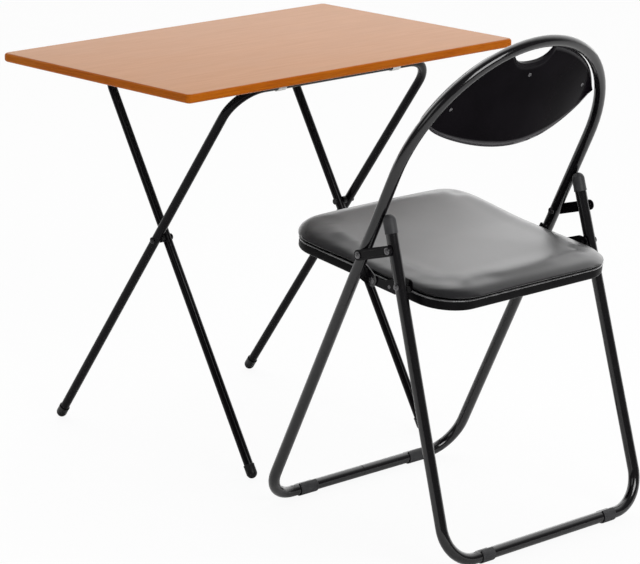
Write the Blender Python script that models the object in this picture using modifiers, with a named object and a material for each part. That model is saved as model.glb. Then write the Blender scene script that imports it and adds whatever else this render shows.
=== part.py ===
"""A folding desk on crossed tube legs, with a folding chair that has a padded seat and backrest.

Metres, +Z up. X runs along the desk's long side and the chair stands before the desk, towards -Y. The origin
is on the floor, in the middle of the area that the two stand on.
"""
import math

import bmesh
import bpy
from mathutils import Matrix, Vector

# Clearances
GAP = 0.0003               # between pieces that touch
OVERRUN = 0.01             # how far a cutter reaches past the piece that it cuts

# Desk top
DESK_WIDTH = 0.750
DESK_DEPTH = 0.500
DESK_HEIGHT = 0.700
BOARD_THICKNESS = 0.0155
BOARD_CORNER = 0.010
BAND_THICKNESS = 0.003
BAND_ROUNDING = 0.005

# Desk legs: two U-shaped tubes that cross, the inner one inside the outer one
LEG_RADIUS = 0.008
LEG_BEND = 0.060
OUTER_HALF_WIDTH = 0.2272  # middle of the desk to the outer tube's axis
PIVOT_SPACER = 0.008       # free space between the outer and the inner tube
OUTER_BAR_INSET = 0.0534   # front edge of the top to the outer frame's bar
INNER_BAR_INSET = 0.059    # rear edge of the top to the inner frame's bar
OUTER_FOOT_REACH = 0.305   # middle of the desk to where the outer legs' axes meet the floor
INNER_FOOT_REACH = 0.207
FOOT_RADIUS = 0.0095
FOOT_LENGTH = 0.025
BOLT_RADIUS = 0.003
BOLT_HEAD_RADIUS = 0.0065
BOLT_HEAD_HEIGHT = 0.003
SPACER_RADIUS = 0.0068

# Fittings below the desk top
STRAP_PLACE = 0.132        # middle of the desk to the middle of a strap or a hook
STRAP_WIDTH = 0.018
STRAP_THICKNESS = 0.0014
STRAP_FLANGE = 0.013
HOOK_THICKNESS = 0.003
HOOK_FLANGE = 0.018
SCREW_RADIUS = 0.0016
SCREW_LENGTH = 0.010
SCREW_HEAD_RADIUS = 0.0036
SCREW_HEAD_HEIGHT = 0.0014

# Chair tubes: a closed loop that leans back and ends in an arch, and a U-shaped rear frame
CHAIR_OFFSET = -0.0603     # middle of the desk to the middle of the chair
CHAIR_CLEARANCE = 0.0736   # front edge of the desk to the chair's front floor bar
TUBE_RADIUS = 0.0095
FLOOR_BEND = 0.060
SEAT_WIDTH = 0.397
SEAT_CLEARANCE = 0.011     # side of the seat to the tube beside it
LOOP_HALF_WIDTH = SEAT_WIDTH / 2 + SEAT_CLEARANCE + TUBE_RADIUS
LOOP_STRAIGHT = 0.6805     # floor bar to the middle of the arch, along the slope
LOOP_LEAN = math.radians(26.9)
REAR_BAR_DISTANCE = 0.4379
REAR_TOP_INSET = 0.004     # how much narrower than the loop the rear frame is at its top
REAR_SPREAD = 0.0094       # how much wider than at its top it is at the floor
REAR_TOP_HALF_WIDTH = LOOP_HALF_WIDTH - REAR_TOP_INSET
REAR_HALF_WIDTH = REAR_TOP_HALF_WIDTH + REAR_SPREAD
REAR_REST_HEIGHT = 0.605   # along the loop, where the rear frame's caps rest on it
REAR_CAP_RADIUS = 0.0105
REAR_CAP_LENGTH = 0.031
GLIDE_RADIUS = 0.0115
FRONT_GLIDE_INSET = 0.092  # side tube's axis to the glide's middle
FRONT_GLIDE_PLACE = LOOP_HALF_WIDTH - FRONT_GLIDE_INSET
FRONT_GLIDE_LENGTH = 0.038
REAR_GLIDE_INSET = 0.0834
REAR_GLIDE_PLACE = REAR_HALF_WIDTH - REAR_GLIDE_INSET
REAR_GLIDE_LENGTH = 0.027

# Chair pivots
SEAT_PIVOT_HEIGHT = 0.4845 # along the loop
SEAT_PIVOT_SETBACK = 0.022 # behind the loop's axis
LINK_PIVOT_HEIGHT = 0.524  # along the loop
SEAT_REAR_PIVOT = 0.104    # below the rear frame's top, along its legs
LINK_REAR_PIVOT = 0.046
RIVET_RADIUS = 0.003
RIVET_HEAD_RADIUS = 0.0058
RIVET_HEAD_HEIGHT = 0.0019
THIN_HEAD_HEIGHT = 0.0009
SHOULDER_RADIUS = 0.0052
LINK_THICKNESS = 0.003
LINK_END_RADIUS = 0.0088
BRACKET_THICKNESS = 0.002
BRACKET_END_RADIUS = 0.0095
OPEN_PIVOT_GAP = 0.0010    # between the link's shoulder and the rear tube

# Seat
SEAT_FRONT_REACH = 0.2147  # seat pivot to the seat's front edge, along the seat
SEAT_LENGTH = 0.378
SEAT_TILT = math.radians(7.1)
SEAT_FRONT_CORNER = 0.058
SEAT_REAR_CORNER = 0.065
SEAT_BASE_THICKNESS = 0.0165
SEAT_BASE_BELOW_PIVOT = 0.0084
CUSHION_HEIGHT = 0.0345
CUSHION_SOFT_EDGE = 0.030
BRACKET_FRONT_REACH = 0.034
BRACKET_REAR_REACH = 0.052

# Backrest, inside and in front of the arch
SHELL_LOWER_EDGE = 0.7175  # along the loop, at the middle
SHELL_EDGE_RISE = 0.056    # how much higher that edge ends, at the arch's half width
SHELL_RIM = 0.002          # thickness where the shell is flat, beside and above its bulge
SHELL_REAR = SHELL_RIM + GAP - TUBE_RADIUS  # behind the loop's axis, at that rim
SHELL_BULGE = 0.0332       # how far it stands out behind the rim, at the middle of its lower edge
SHELL_BULGE_INSET = 0.039  # the arch's axis to where the bulge begins
SHELL_BULGE_HALF_WIDTH = LOOP_HALF_WIDTH - SHELL_BULGE_INSET
PAD_INSET = 0.004          # the arch's axis to the pad's edge
PAD_RADIUS = LOOP_HALF_WIDTH - PAD_INSET
PAD_THICKNESS = 0.018
PAD_SOFT_EDGE = 0.018
HAND_HOLE_HALF_WIDTH = 0.045
HAND_HOLE_DEPTH = 0.033    # below the inner side of the arch's tube
HAND_HOLE_BOTTOM = LOOP_STRAIGHT + LOOP_HALF_WIDTH - TUBE_RADIUS - HAND_HOLE_DEPTH
HAND_HOLE_CORNER = 0.012
PAD_HOLE_MARGIN = 0.012    # how much lower and wider the hole is in the pad
BACK_SCREW_INSET = 0.0706  # the arch's axis to the screw, at the arch's middle
BACK_SCREW_PLACE = LOOP_HALF_WIDTH - BACK_SCREW_INSET
BACK_SCREW_HEIGHT = 0.792
TOP_SCREW_INSET = 0.019    # below the hand hole
TOP_SCREW_HEIGHT = HAND_HOLE_BOTTOM - TOP_SCREW_INSET

# Facets
BEND_STEPS = 7
ARCH_STEPS = 16
TURNED_STEPS = 20
CORNER_STEPS = 6

# Soft forms: how far in (times the soft edge) and how high (times the height) each ring lies
CUSHION_RING_SHARES = ((0.16, 0.0), (0.05, 0.07), (0.0, 0.22), (0.0, 0.36), (0.08, 0.50), (0.26, 0.62),
                       (0.53, 0.71), (1.0, 0.80))
CUSHION_CROWN_SHARES = ((0.82, 0.87), (0.64, 0.925), (0.45, 0.965), (0.25, 0.99), (0.06, 1.0))
PAD_RING_SHARES = ((0.12, 0.0), (0.0, 0.12), (0.0, 0.34), (0.12, 0.56), (0.40, 0.76), (1.0, 0.89))
PAD_CROWN_SHARES = ((0.80, 0.95), (0.50, 0.99), (0.12, 1.0))

for left_over in list(bpy.data.objects):
    bpy.data.objects.remove(left_over, do_unlink=True)

scene = bpy.context.scene
parts = bpy.data.collections.new("folding_desk_and_chair")
cutters = bpy.data.collections.new("cutters")
scene.collection.children.link(parts)
scene.collection.children.link(cutters)

SIDES = ((-1, "left"), (1, "right"))
SIDE_VIEW = (math.pi / 2, 0, math.pi / 2)  # a flat outline's x, y and thickness become Y, Z and X


def material(name, colour, roughness, metallic=0.0):
    made = bpy.data.materials.new(name)
    made.use_nodes = True
    shader = made.node_tree.nodes["Principled BSDF"]
    shader.inputs["Base Color"].default_value = (*colour, 1)
    shader.inputs["Roughness"].default_value = roughness
    shader.inputs["Metallic"].default_value = metallic
    made.diffuse_color = (*colour, 1)
    return made


def empty(name, place=(0, 0, 0), carrier=None):
    """An empty at a place given in its desk's or chair's own frame."""
    made = bpy.data.objects.new(name, None)
    parts.objects.link(made)
    attach(made, carrier, place)
    return made


def place_of(carrier):
    """Where a carrier lies in its desk's or chair's own frame, whose empty has no parent."""
    place = Vector()
    while carrier is not None and carrier.parent is not None:
        place += carrier.location
        carrier = carrier.parent
    return place


def attach(thing, carrier, place=(0, 0, 0), turn=(0, 0, 0)):
    thing.parent = carrier
    thing.location = Vector(place) - place_of(carrier)
    thing.rotation_euler = turn


def solid(source, name):
    """Turns a curve or a profile with modifiers into a mesh object with welded caps."""
    scene.collection.objects.link(source)
    bpy.context.view_layer.update()
    evaluated = source.evaluated_get(bpy.context.evaluated_depsgraph_get())
    mesh = bpy.data.meshes.new_from_object(evaluated)
    bpy.data.objects.remove(source, do_unlink=True)
    edit = bmesh.new()
    edit.from_mesh(mesh)
    bmesh.ops.remove_doubles(edit, verts=edit.verts, dist=GAP / 30)
    bmesh.ops.recalc_face_normals(edit, faces=edit.faces)
    edit.to_mesh(mesh)
    edit.free()
    mesh.shade_smooth()
    mesh.set_sharp_from_angle(angle=math.radians(35))
    mesh.name = name
    return bpy.data.objects.new(name, mesh)


def finish(thing, coat, carrier, place, turn):
    """Puts a made piece among the parts, or among the cutters where it has no coat."""
    if coat is None:
        cutters.objects.link(thing)
        thing.hide_render = True
        thing.display_type = "WIRE"
    else:
        parts.objects.link(thing)
        thing.data.materials.clear()
        thing.data.materials.append(coat)
    attach(thing, carrier, place, turn)
    return thing


def curve(name, outlines, closed, flat):
    data = bpy.data.curves.new(name, "CURVE")
    data.dimensions = "2D" if flat else "3D"
    for outline in outlines:
        spline = data.splines.new("POLY")
        spline.points.add(len(outline) - 1)
        for point, (x, y) in zip(spline.points, outline):
            point.co = (x, y, 0, 1)
        spline.use_cyclic_u = closed
    return bpy.data.objects.new(name, data)


def tube(name, path, radius, closed, coat, carrier, place, turn):
    """A round tube along a path in its own XY plane."""
    source = curve(name, [path], closed, flat=False)
    source.data.bevel_depth = radius
    source.data.bevel_resolution = 6
    source.data.use_fill_caps = True
    return finish(solid(source, name), coat, carrier, place, turn)


def plate(name, outlines, thickness, coat, carrier, place=(0, 0, 0), turn=(0, 0, 0)):
    """A flat plate between closed outlines, the first one outside, with its mid-plane on its own XY plane."""
    source = curve(name, outlines, closed=True, flat=True)
    source.data.fill_mode = "BOTH"
    source.data.extrude = thickness / 2
    return finish(solid(source, name), coat, carrier, place, turn)


def turned(name, profile, coat, carrier, place=(0, 0, 0), turn=(0, 0, 0), ring=False):
    """A profile of (radius, height) points, from the top down its outer side, turned about its own Z."""
    data = bpy.data.meshes.new(name)
    edit = bmesh.new()
    points = [edit.verts.new((radius, 0, height)) for radius, height in profile]
    for first, second in zip(points, points[1:]):
        edit.edges.new((first, second))
    if ring:
        edit.edges.new((points[-1], points[0]))
    edit.to_mesh(data)
    edit.free()
    source = bpy.data.objects.new(name, data)
    screw = source.modifiers.new("Screw", "SCREW")
    screw.steps = screw.render_steps = TURNED_STEPS
    screw.use_merge_vertices = True
    screw.merge_threshold = GAP / 30
    return finish(solid(source, name), coat, carrier, place, turn)


def stacked(name, rings, coat, carrier, place, turn):
    """A soft form through rings of points, each ring with as many points as the last."""
    edit = bmesh.new()
    loops = []
    for ring in rings:
        made = bmesh.ops.create_circle(edit, segments=len(ring), radius=SEAT_WIDTH)["verts"]
        for vert, point in zip(made, ring):
            vert.co = point
        loops.append(made)
    edit.verts.index_update()
    edge_of = {frozenset((edge.verts[0].index, edge.verts[1].index)): edge for edge in edit.edges}

    def edges_of(loop):
        pairs = zip(loop, loop[1:] + loop[:1])
        return [edge_of[frozenset((first.index, second.index))] for first, second in pairs]

    for lower, upper in zip(loops, loops[1:]):
        bmesh.ops.bridge_loops(edit, edges=edges_of(lower) + edges_of(upper))
    for end in (loops[0], loops[-1]):
        bmesh.ops.contextual_create(edit, geom=edges_of(end))
    bmesh.ops.recalc_face_normals(edit, faces=edit.faces)
    mesh = bpy.data.meshes.new(name)
    edit.to_mesh(mesh)
    edit.free()
    mesh.shade_smooth()
    return finish(bpy.data.objects.new(name, mesh), coat, carrier, place, turn)


def cut(target, cutter, operation="DIFFERENCE"):
    boolean = target.modifiers.new(cutter.name, "BOOLEAN")
    boolean.operation = operation
    boolean.object = cutter


def rod(name, radius, length, carrier, place, turn=(0, math.pi / 2, 0)):
    """A round cutter, along X unless it is turned."""
    return turned(name, [(0, length / 2), (radius, length / 2), (radius, -length / 2), (0, -length / 2)],
                  None, carrier, place, turn)


def rounded(corners, radii, closed, steps):
    """An outline or path through corners, each one rounded to its radius."""
    path = []
    count = len(corners)
    for index, (corner, radius) in enumerate(zip(corners, radii)):
        corner = Vector(corner)
        if radius == 0 or (not closed and index in (0, count - 1)):
            path.append(corner)
            continue
        back = (Vector(corners[index - 1]) - corner).normalized()
        ahead = (Vector(corners[(index + 1) % count]) - corner).normalized()
        half_angle = back.angle(ahead) / 2
        start = corner + back * (radius / math.tan(half_angle))
        middle = corner + (back + ahead).normalized() * (radius / math.sin(half_angle))
        sweep = math.pi - 2 * half_angle
        if back.x * ahead.y - back.y * ahead.x > 0:
            sweep = -sweep
        number = steps[index] if isinstance(steps, tuple) else steps
        for step in range(number + 1):
            point = middle + Matrix.Rotation(sweep * step / number, 2) @ (start - middle)
            if not path or (point - path[-1]).length > GAP / 3:
                path.append(point)
    if closed and (path[0] - path[-1]).length < GAP / 3:
        path.pop()
    return path


def rectangle(half_width, low, high, low_radius, high_radius, steps=CORNER_STEPS):
    corners = [(-half_width, low), (half_width, low), (half_width, high), (-half_width, high)]
    return rounded(corners, (low_radius, low_radius, high_radius, high_radius), True, steps)


def circle(middle, radius):
    return [Vector(middle) + radius * Vector((math.cos(angle), math.sin(angle)))
            for angle in (math.tau * step / TURNED_STEPS for step in range(TURNED_STEPS))]


def slot(first, second, radius, steps=8):
    """The outline of a bar with round ends about two points."""
    first, second = Vector(first), Vector(second)
    heading = math.atan2(second.y - first.y, second.x - first.x)
    outline = []
    for middle, begin in ((second, heading - math.pi / 2), (first, heading + math.pi / 2)):
        for step in range(steps + 1):
            angle = begin + math.pi * step / steps
            outline.append(middle + radius * Vector((math.cos(angle), math.sin(angle))))
    return outline


def dome(radius, base, height, steps=3):
    """A rivet's or screw's rounded head as a profile, from its crown down to its rim."""
    return [(radius * math.sin(math.pi / 2 * step / steps),
             base + height * (0.25 + 0.75 * math.cos(math.pi / 2 * step / steps)))
            for step in range(steps + 1)] + [(radius, base)]


steel_black = material("black_painted_tube", (0.012, 0.012, 0.013), 0.22)
steel_bright = material("bright_zinc", (0.62, 0.62, 0.60), 0.30, 1.0)
plastic_black = material("black_plastic", (0.020, 0.020, 0.021), 0.45)
plastic_grey = material("dark_grey_plastic", (0.045, 0.046, 0.048), 0.5)
beech_top = material("beech_laminate", (0.60, 0.38, 0.26), 0.42)
brown_edge = material("brown_edging", (0.44, 0.16, 0.03), 0.4)
vinyl_black = material("black_vinyl", (0.030, 0.030, 0.033), 0.42)
shell_black = material("gloss_black_shell", (0.010, 0.009, 0.011), 0.15)

# Desk, in its own frame: the floor below the middle of the top is its origin
board_bottom = DESK_HEIGHT - BOARD_THICKNESS
bar_height = board_bottom - GAP - LEG_RADIUS
outer_bar = Vector((OUTER_BAR_INSET - DESK_DEPTH / 2, bar_height))
inner_bar = Vector((DESK_DEPTH / 2 - INNER_BAR_INSET, bar_height))
outer_leg = outer_bar - Vector((OUTER_FOOT_REACH, 0))
inner_leg = inner_bar - Vector((-INNER_FOOT_REACH, 0))
outer_slope = math.atan2(outer_leg.y, outer_leg.x)
inner_slope = math.atan2(inner_leg.y, inner_leg.x)
outer_leg.normalize()
inner_leg.normalize()

# Where the two stand: the floor area from the desk's rear feet to the chair's rear glides is centred
rear_reach = OUTER_FOOT_REACH + FOOT_RADIUS * (outer_leg.x / outer_leg.y + 1)
front_reach = DESK_DEPTH / 2 + CHAIR_CLEARANCE + REAR_BAR_DISTANCE + GLIDE_RADIUS
desk_y = (front_reach - rear_reach) / 2
desk = empty("desk", (0, desk_y, 0))
chair = empty("chair", (CHAIR_OFFSET, desk_y - DESK_DEPTH / 2 - CHAIR_CLEARANCE, 0))

# The inner frame fits between the outer frame's legs, with a spacer on each side
inner_half_width = OUTER_HALF_WIDTH - 2 * LEG_RADIUS - PIVOT_SPACER
# The crossing: outer_bar - a * outer_leg = inner_bar - b * inner_leg
crossing_down = ((inner_bar - outer_bar).x * inner_leg.y
                 / (inner_leg.x * outer_leg.y - outer_leg.x * inner_leg.y))
crossing = outer_bar - outer_leg * crossing_down

desk_frame = empty("desk_outer_frame_carrier", (0, 0, 0), desk)
scissor_axis = empty("desk_scissor_axis", (0, *crossing), desk)
board_axis = empty("desk_board_axis", (0, *outer_bar), desk)


def leg_frame(name, half_width, slope, bar, carrier):
    """A U-shaped leg tube, open downwards, and the caps on its feet."""
    length = (bar.y - FOOT_RADIUS) / math.sin(slope)
    corners = [(-half_width, -length), (-half_width, 0), (half_width, 0), (half_width, -length)]
    path = rounded(corners, (0, LEG_BEND, LEG_BEND, 0), False, BEND_STEPS)
    frame = tube(name + "_frame", path, LEG_RADIUS, False, steel_black, carrier, (0, *bar), (slope, 0, 0))
    bore = LEG_RADIUS + GAP
    collar = FOOT_LENGTH - FOOT_RADIUS
    steps = 5
    profile = [(0, -GAP), (bore, -GAP), (bore, collar), (FOOT_RADIUS, collar)]
    profile += [(FOOT_RADIUS * math.cos(math.pi / 2 * step / steps),
                 -FOOT_RADIUS * math.sin(math.pi / 2 * step / steps)) for step in range(steps + 1)]
    foot = bar - Vector((math.cos(slope), math.sin(slope))) * length
    for side, word in SIDES:
        turned(f"{name}_foot_cap_{word}", profile, plastic_black, carrier,
               (side * half_width, *foot), (slope - math.pi / 2, 0, 0))
    return frame


outer_frame = leg_frame("desk_outer", OUTER_HALF_WIDTH, outer_slope, outer_bar, desk_frame)
inner_frame = leg_frame("desk_inner", inner_half_width, inner_slope, inner_bar, scissor_axis)

# Crossing bolts, with a spacer between the tubes
bolt_middle = (OUTER_HALF_WIDTH + inner_half_width) / 2
bolt_reach = OUTER_HALF_WIDTH - bolt_middle + LEG_RADIUS + GAP
bolt_profile = dome(BOLT_HEAD_RADIUS, bolt_reach, BOLT_HEAD_HEIGHT) + [
    (BOLT_RADIUS, bolt_reach), (BOLT_RADIUS, -bolt_reach), (BOLT_HEAD_RADIUS, -bolt_reach),
    (BOLT_HEAD_RADIUS, -bolt_reach - BOLT_HEAD_HEIGHT), (0, -bolt_reach - BOLT_HEAD_HEIGHT)]
spacer_reach = PIVOT_SPACER / 2 - GAP
spacer_profile = [(BOLT_RADIUS + GAP, spacer_reach), (SPACER_RADIUS, spacer_reach),
                  (SPACER_RADIUS, -spacer_reach), (BOLT_RADIUS + GAP, -spacer_reach)]
for side, word in SIDES:
    place = (side * bolt_middle, *crossing)
    outwards = (0, side * math.pi / 2, 0)
    turned("desk_crossing_bolt_" + word, bolt_profile, steel_bright, desk_frame, place, outwards)
    turned("desk_crossing_spacer_" + word, spacer_profile, plastic_black, desk_frame, place, outwards,
           ring=True)
    hole = rod("crossing_hole_" + word, BOLT_RADIUS + GAP, 2 * bolt_reach + OVERRUN, desk_frame, place)
    cut(outer_frame, hole)
    cut(inner_frame, hole)

# Top and its edging
board_middle = (0, 0, DESK_HEIGHT - BOARD_THICKNESS / 2)
half_board = DESK_DEPTH / 2


def board_outline(inset):
    corner = BOARD_CORNER - inset
    return rectangle(DESK_WIDTH / 2 - inset, inset - half_board, half_board - inset, corner, corner)


board = plate("desk_top_board", [board_outline(BAND_THICKNESS + GAP)], BOARD_THICKNESS, beech_top,
              board_axis, board_middle)
band = plate("desk_top_edging", [board_outline(0)], BOARD_THICKNESS, brown_edge, board_axis, board_middle)
rounding = band.modifiers.new("Rounding", "BEVEL")
rounding.width = BAND_ROUNDING
rounding.segments = 3
rounding.limit_method = "ANGLE"
rounding.angle_limit = math.radians(50)
cut(band, plate("edging_hole", [board_outline(BAND_THICKNESS)], BOARD_THICKNESS + OVERRUN, None,
                board_axis, board_middle))

# Straps that hold the outer frame's bar, and hooks behind the inner frame's bar
strap_bore = LEG_RADIUS + GAP
strap_out = strap_bore + STRAP_THICKNESS


def arc(radius, begin, end, steps=10):
    return [(radius * math.cos(begin + (end - begin) * step / steps),
             radius * math.sin(begin + (end - begin) * step / steps)) for step in range(steps + 1)]


# Sections about the bar's axis: x towards the desk's rear, y up
seat_level = LEG_RADIUS
flange_level = seat_level - STRAP_THICKNESS
flange_end = strap_out + STRAP_FLANGE
strap_section = ([(-flange_end, seat_level), (-strap_bore, seat_level)]
                 + arc(strap_bore, -math.pi, 0)
                 + [(strap_bore, seat_level), (flange_end, seat_level), (flange_end, flange_level),
                    (strap_out, flange_level)]
                 + arc(strap_out, 0, -math.pi)
                 + [(-strap_out, flange_level), (-flange_end, flange_level)])
hook_out = strap_bore + HOOK_THICKNESS
hook_end = hook_out + HOOK_FLANGE
hook_level = seat_level - HOOK_THICKNESS
hook_open = math.radians(-18)
hook_section = (arc(strap_bore, hook_open, math.asin(seat_level / strap_bore), 8)
                + [(hook_end, seat_level), (hook_end, hook_level), (hook_out, hook_level)]
                + arc(hook_out, 0, hook_open, 3))


def board_screw(name, side, place_y, level):
    """A screw up into the board through a fitting of this thickness, and its holes."""
    place = (side * STRAP_PLACE, place_y, board_bottom - GAP - level - GAP)
    head = dome(SCREW_HEAD_RADIUS, 0, SCREW_HEAD_HEIGHT)
    profile = head + [(SCREW_RADIUS, 0), (SCREW_RADIUS, -SCREW_LENGTH), (0, -SCREW_LENGTH)]
    turned(name, profile, steel_bright, board_axis, place, (math.pi, 0, 0))
    pilot = rod(name + "_hole", SCREW_RADIUS + GAP, 2 * (SCREW_LENGTH + GAP), board_axis, place, (0, 0, 0))
    cut(board, pilot)
    return pilot


for side, word in SIDES:
    strap = plate("desk_strap_" + word, [strap_section], STRAP_WIDTH, steel_bright, board_axis,
                  (side * STRAP_PLACE, *outer_bar), SIDE_VIEW)
    for direction, end in ((-1, "front"), (1, "rear")):
        screw_y = outer_bar.x + direction * (strap_out + STRAP_FLANGE / 2)
        cut(strap, board_screw(f"desk_strap_screw_{word}_{end}", side, screw_y, STRAP_THICKNESS))
    hook = plate("desk_hook_" + word, [hook_section], STRAP_WIDTH, plastic_black, board_axis,
                 (side * STRAP_PLACE, *inner_bar), SIDE_VIEW)
    screw_y = inner_bar.x + hook_out + HOOK_FLANGE / 2
    cut(hook, board_screw("desk_hook_screw_" + word, side, screw_y, HOOK_THICKNESS))

# Chair, in its own frame: the floor below the middle of the front floor bar is its origin
bar_level = GLIDE_RADIUS
loop_slope = math.pi / 2 + LOOP_LEAN
up_loop = Vector((math.cos(loop_slope), math.sin(loop_slope)))
behind_loop = Vector((-math.sin(loop_slope), math.cos(loop_slope)))


def on_loop(height, setback=0.0):
    """The (y, z) of a point this far up the loop and behind its axis."""
    return Vector((0, bar_level)) + up_loop * height + behind_loop * setback


side_step = LOOP_HALF_WIDTH - REAR_TOP_HALF_WIDTH
rest_distance = math.sqrt((TUBE_RADIUS + REAR_CAP_RADIUS + GAP) ** 2 - side_step ** 2)
rear_bar = Vector((-REAR_BAR_DISTANCE, bar_level))
rear_top = on_loop(REAR_REST_HEIGHT, rest_distance)
rear_leg = rear_top - rear_bar
rear_length = rear_leg.length
rear_slope = math.atan2(rear_leg.y, rear_leg.x)
rear_leg.normalize()
seat_pivot = on_loop(SEAT_PIVOT_HEIGHT, SEAT_PIVOT_SETBACK)
link_pivot = on_loop(LINK_PIVOT_HEIGHT)
seat_rear_pivot = rear_top - rear_leg * SEAT_REAR_PIVOT
link_rear_pivot = rear_top - rear_leg * LINK_REAR_PIVOT


def rear_half_width(down):
    """Middle of the chair to a rear leg's axis, this far below the leg's top."""
    return REAR_TOP_HALF_WIDTH + (REAR_HALF_WIDTH - REAR_TOP_HALF_WIDTH) * down / rear_length


chair_frame = empty("chair_loop_carrier", (0, 0, 0), chair)
seat_axis = empty("chair_seat_axis", (0, *seat_pivot), chair_frame)
rear_axis = empty("chair_rear_axis", (0, *seat_rear_pivot), seat_axis)
link_axes = {word: empty("chair_link_axis_" + word, (0, *link_pivot), chair_frame) for side, word in SIDES}

loop_turn = (loop_slope, 0, 0)
loop_corners = (FLOOR_BEND, FLOOR_BEND, LOOP_HALF_WIDTH, LOOP_HALF_WIDTH)
loop_steps = (BEND_STEPS, BEND_STEPS, ARCH_STEPS, ARCH_STEPS)
loop_path = rounded([(-LOOP_HALF_WIDTH, 0), (LOOP_HALF_WIDTH, 0),
                     (LOOP_HALF_WIDTH, LOOP_STRAIGHT + LOOP_HALF_WIDTH),
                     (-LOOP_HALF_WIDTH, LOOP_STRAIGHT + LOOP_HALF_WIDTH)], loop_corners, True, loop_steps)
loop = tube("chair_loop_frame", loop_path, TUBE_RADIUS, True, steel_black, chair_frame,
            (0, 0, bar_level), loop_turn)

rear_path = rounded([(-REAR_TOP_HALF_WIDTH, rear_length), (-REAR_HALF_WIDTH, 0), (REAR_HALF_WIDTH, 0),
                     (REAR_TOP_HALF_WIDTH, rear_length)], (0, FLOOR_BEND, FLOOR_BEND, 0), False, BEND_STEPS)
rear_frame = tube("chair_rear_frame", rear_path, TUBE_RADIUS, False, steel_black, rear_axis,
                  (0, *rear_bar), (rear_slope, 0, 0))

# Caps on the rear frame's ends, round where they rest on the loop
cap_bore = TUBE_RADIUS + GAP
cap_steps = 5
cap_profile = [(REAR_CAP_RADIUS * math.sin(math.pi / 2 * step / cap_steps),
                REAR_CAP_RADIUS * math.cos(math.pi / 2 * step / cap_steps)) for step in range(cap_steps + 1)]
cap_collar = REAR_CAP_RADIUS - REAR_CAP_LENGTH
cap_profile += [(REAR_CAP_RADIUS, cap_collar), (cap_bore, cap_collar), (cap_bore, GAP), (0, GAP)]
for side, word in SIDES:
    leg_line = Vector((side * (REAR_TOP_HALF_WIDTH - REAR_HALF_WIDTH), rear_top.x - rear_bar.x,
                       rear_top.y - rear_bar.y))
    turned("chair_rear_cap_" + word, cap_profile, plastic_grey, rear_axis,
           (side * REAR_TOP_HALF_WIDTH, *rear_top), leg_line.to_track_quat("Z", "Y").to_euler())

# Glides round the floor bars
for end, place_x, length, carrier, bar in (
        ("front", FRONT_GLIDE_PLACE, FRONT_GLIDE_LENGTH, chair_frame, (0, bar_level)),
        ("rear", REAR_GLIDE_PLACE, REAR_GLIDE_LENGTH, rear_axis, rear_bar)):
    glide_profile = [(cap_bore, length / 2), (GLIDE_RADIUS, length / 2),
                     (GLIDE_RADIUS, -length / 2), (cap_bore, -length / 2)]
    for side, word in SIDES:
        turned(f"chair_{end}_glide_{word}", glide_profile, plastic_grey, carrier,
               (side * place_x, *bar), (0, math.pi / 2, 0), ring=True)

# Side plates, from the middle outwards: seat bracket, then the plate on the loop, then the links outside
seat_side = SEAT_WIDTH / 2
bracket_x = seat_side + GAP + BRACKET_THICKNESS / 2
plate_x = bracket_x + BRACKET_THICKNESS + GAP
link_x = LOOP_HALF_WIDTH + TUBE_RADIUS + GAP + LINK_THICKNESS / 2
rivet_hole = RIVET_RADIUS + GAP


def in_view(point, origin):
    return Vector(point) - Vector(origin)


plate_half = LINK_END_RADIUS + SEAT_PIVOT_SETBACK / 4
loop_plate_corners = [in_view(on_loop(SEAT_PIVOT_HEIGHT + up, back), seat_pivot) for up, back in
                      ((-plate_half, -TUBE_RADIUS / 2), (-plate_half, TUBE_RADIUS / 2),
                       (-BRACKET_END_RADIUS, SEAT_PIVOT_SETBACK + BRACKET_END_RADIUS),
                       (BRACKET_END_RADIUS, SEAT_PIVOT_SETBACK + BRACKET_END_RADIUS),
                       (plate_half, TUBE_RADIUS / 2), (plate_half, -TUBE_RADIUS / 2))]
loop_plate_radii = (TUBE_RADIUS / 4, TUBE_RADIUS / 4, BRACKET_END_RADIUS * 0.8, BRACKET_END_RADIUS * 0.8,
                    TUBE_RADIUS / 4, TUBE_RADIUS / 4)
loop_plate_outline = rounded(loop_plate_corners, loop_plate_radii, True, CORNER_STEPS)
block_half = plate_half * 0.85
block_back = TUBE_RADIUS * 0.4
block_corners = [in_view(on_loop(SEAT_PIVOT_HEIGHT + up, back), seat_pivot) for up, back in
                 ((-block_half, -block_back), (block_half, -block_back),
                  (block_half, block_back), (-block_half, block_back))]
block_radii = (TUBE_RADIUS / 4,) * 4
block_inner = plate_x - BRACKET_THICKNESS / 4
block_outer = LOOP_HALF_WIDTH
block_outline = rounded(block_corners, block_radii, True, CORNER_STEPS)

rear_in_seat = in_view(seat_rear_pivot, seat_pivot)
tilt = Matrix.Rotation(SEAT_TILT, 2)
band_middle = SEAT_BASE_THICKNESS / 2 - SEAT_BASE_BELOW_PIVOT
bracket_corners = [tilt @ Vector((BRACKET_FRONT_REACH, band_middle - BRACKET_END_RADIUS * 0.8)),
                   tilt @ Vector((BRACKET_FRONT_REACH, band_middle + BRACKET_END_RADIUS * 0.8)),
                   tilt @ Vector((-BRACKET_REAR_REACH / 2, band_middle + BRACKET_END_RADIUS * 0.8)),
                   rear_in_seat + tilt @ Vector((BRACKET_END_RADIUS, BRACKET_END_RADIUS)),
                   rear_in_seat + tilt @ Vector((-BRACKET_END_RADIUS, BRACKET_END_RADIUS)),
                   rear_in_seat + tilt @ Vector((-BRACKET_END_RADIUS, -BRACKET_END_RADIUS)),
                   tilt @ Vector((-BRACKET_REAR_REACH, band_middle - BRACKET_END_RADIUS * 0.8))]
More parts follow.
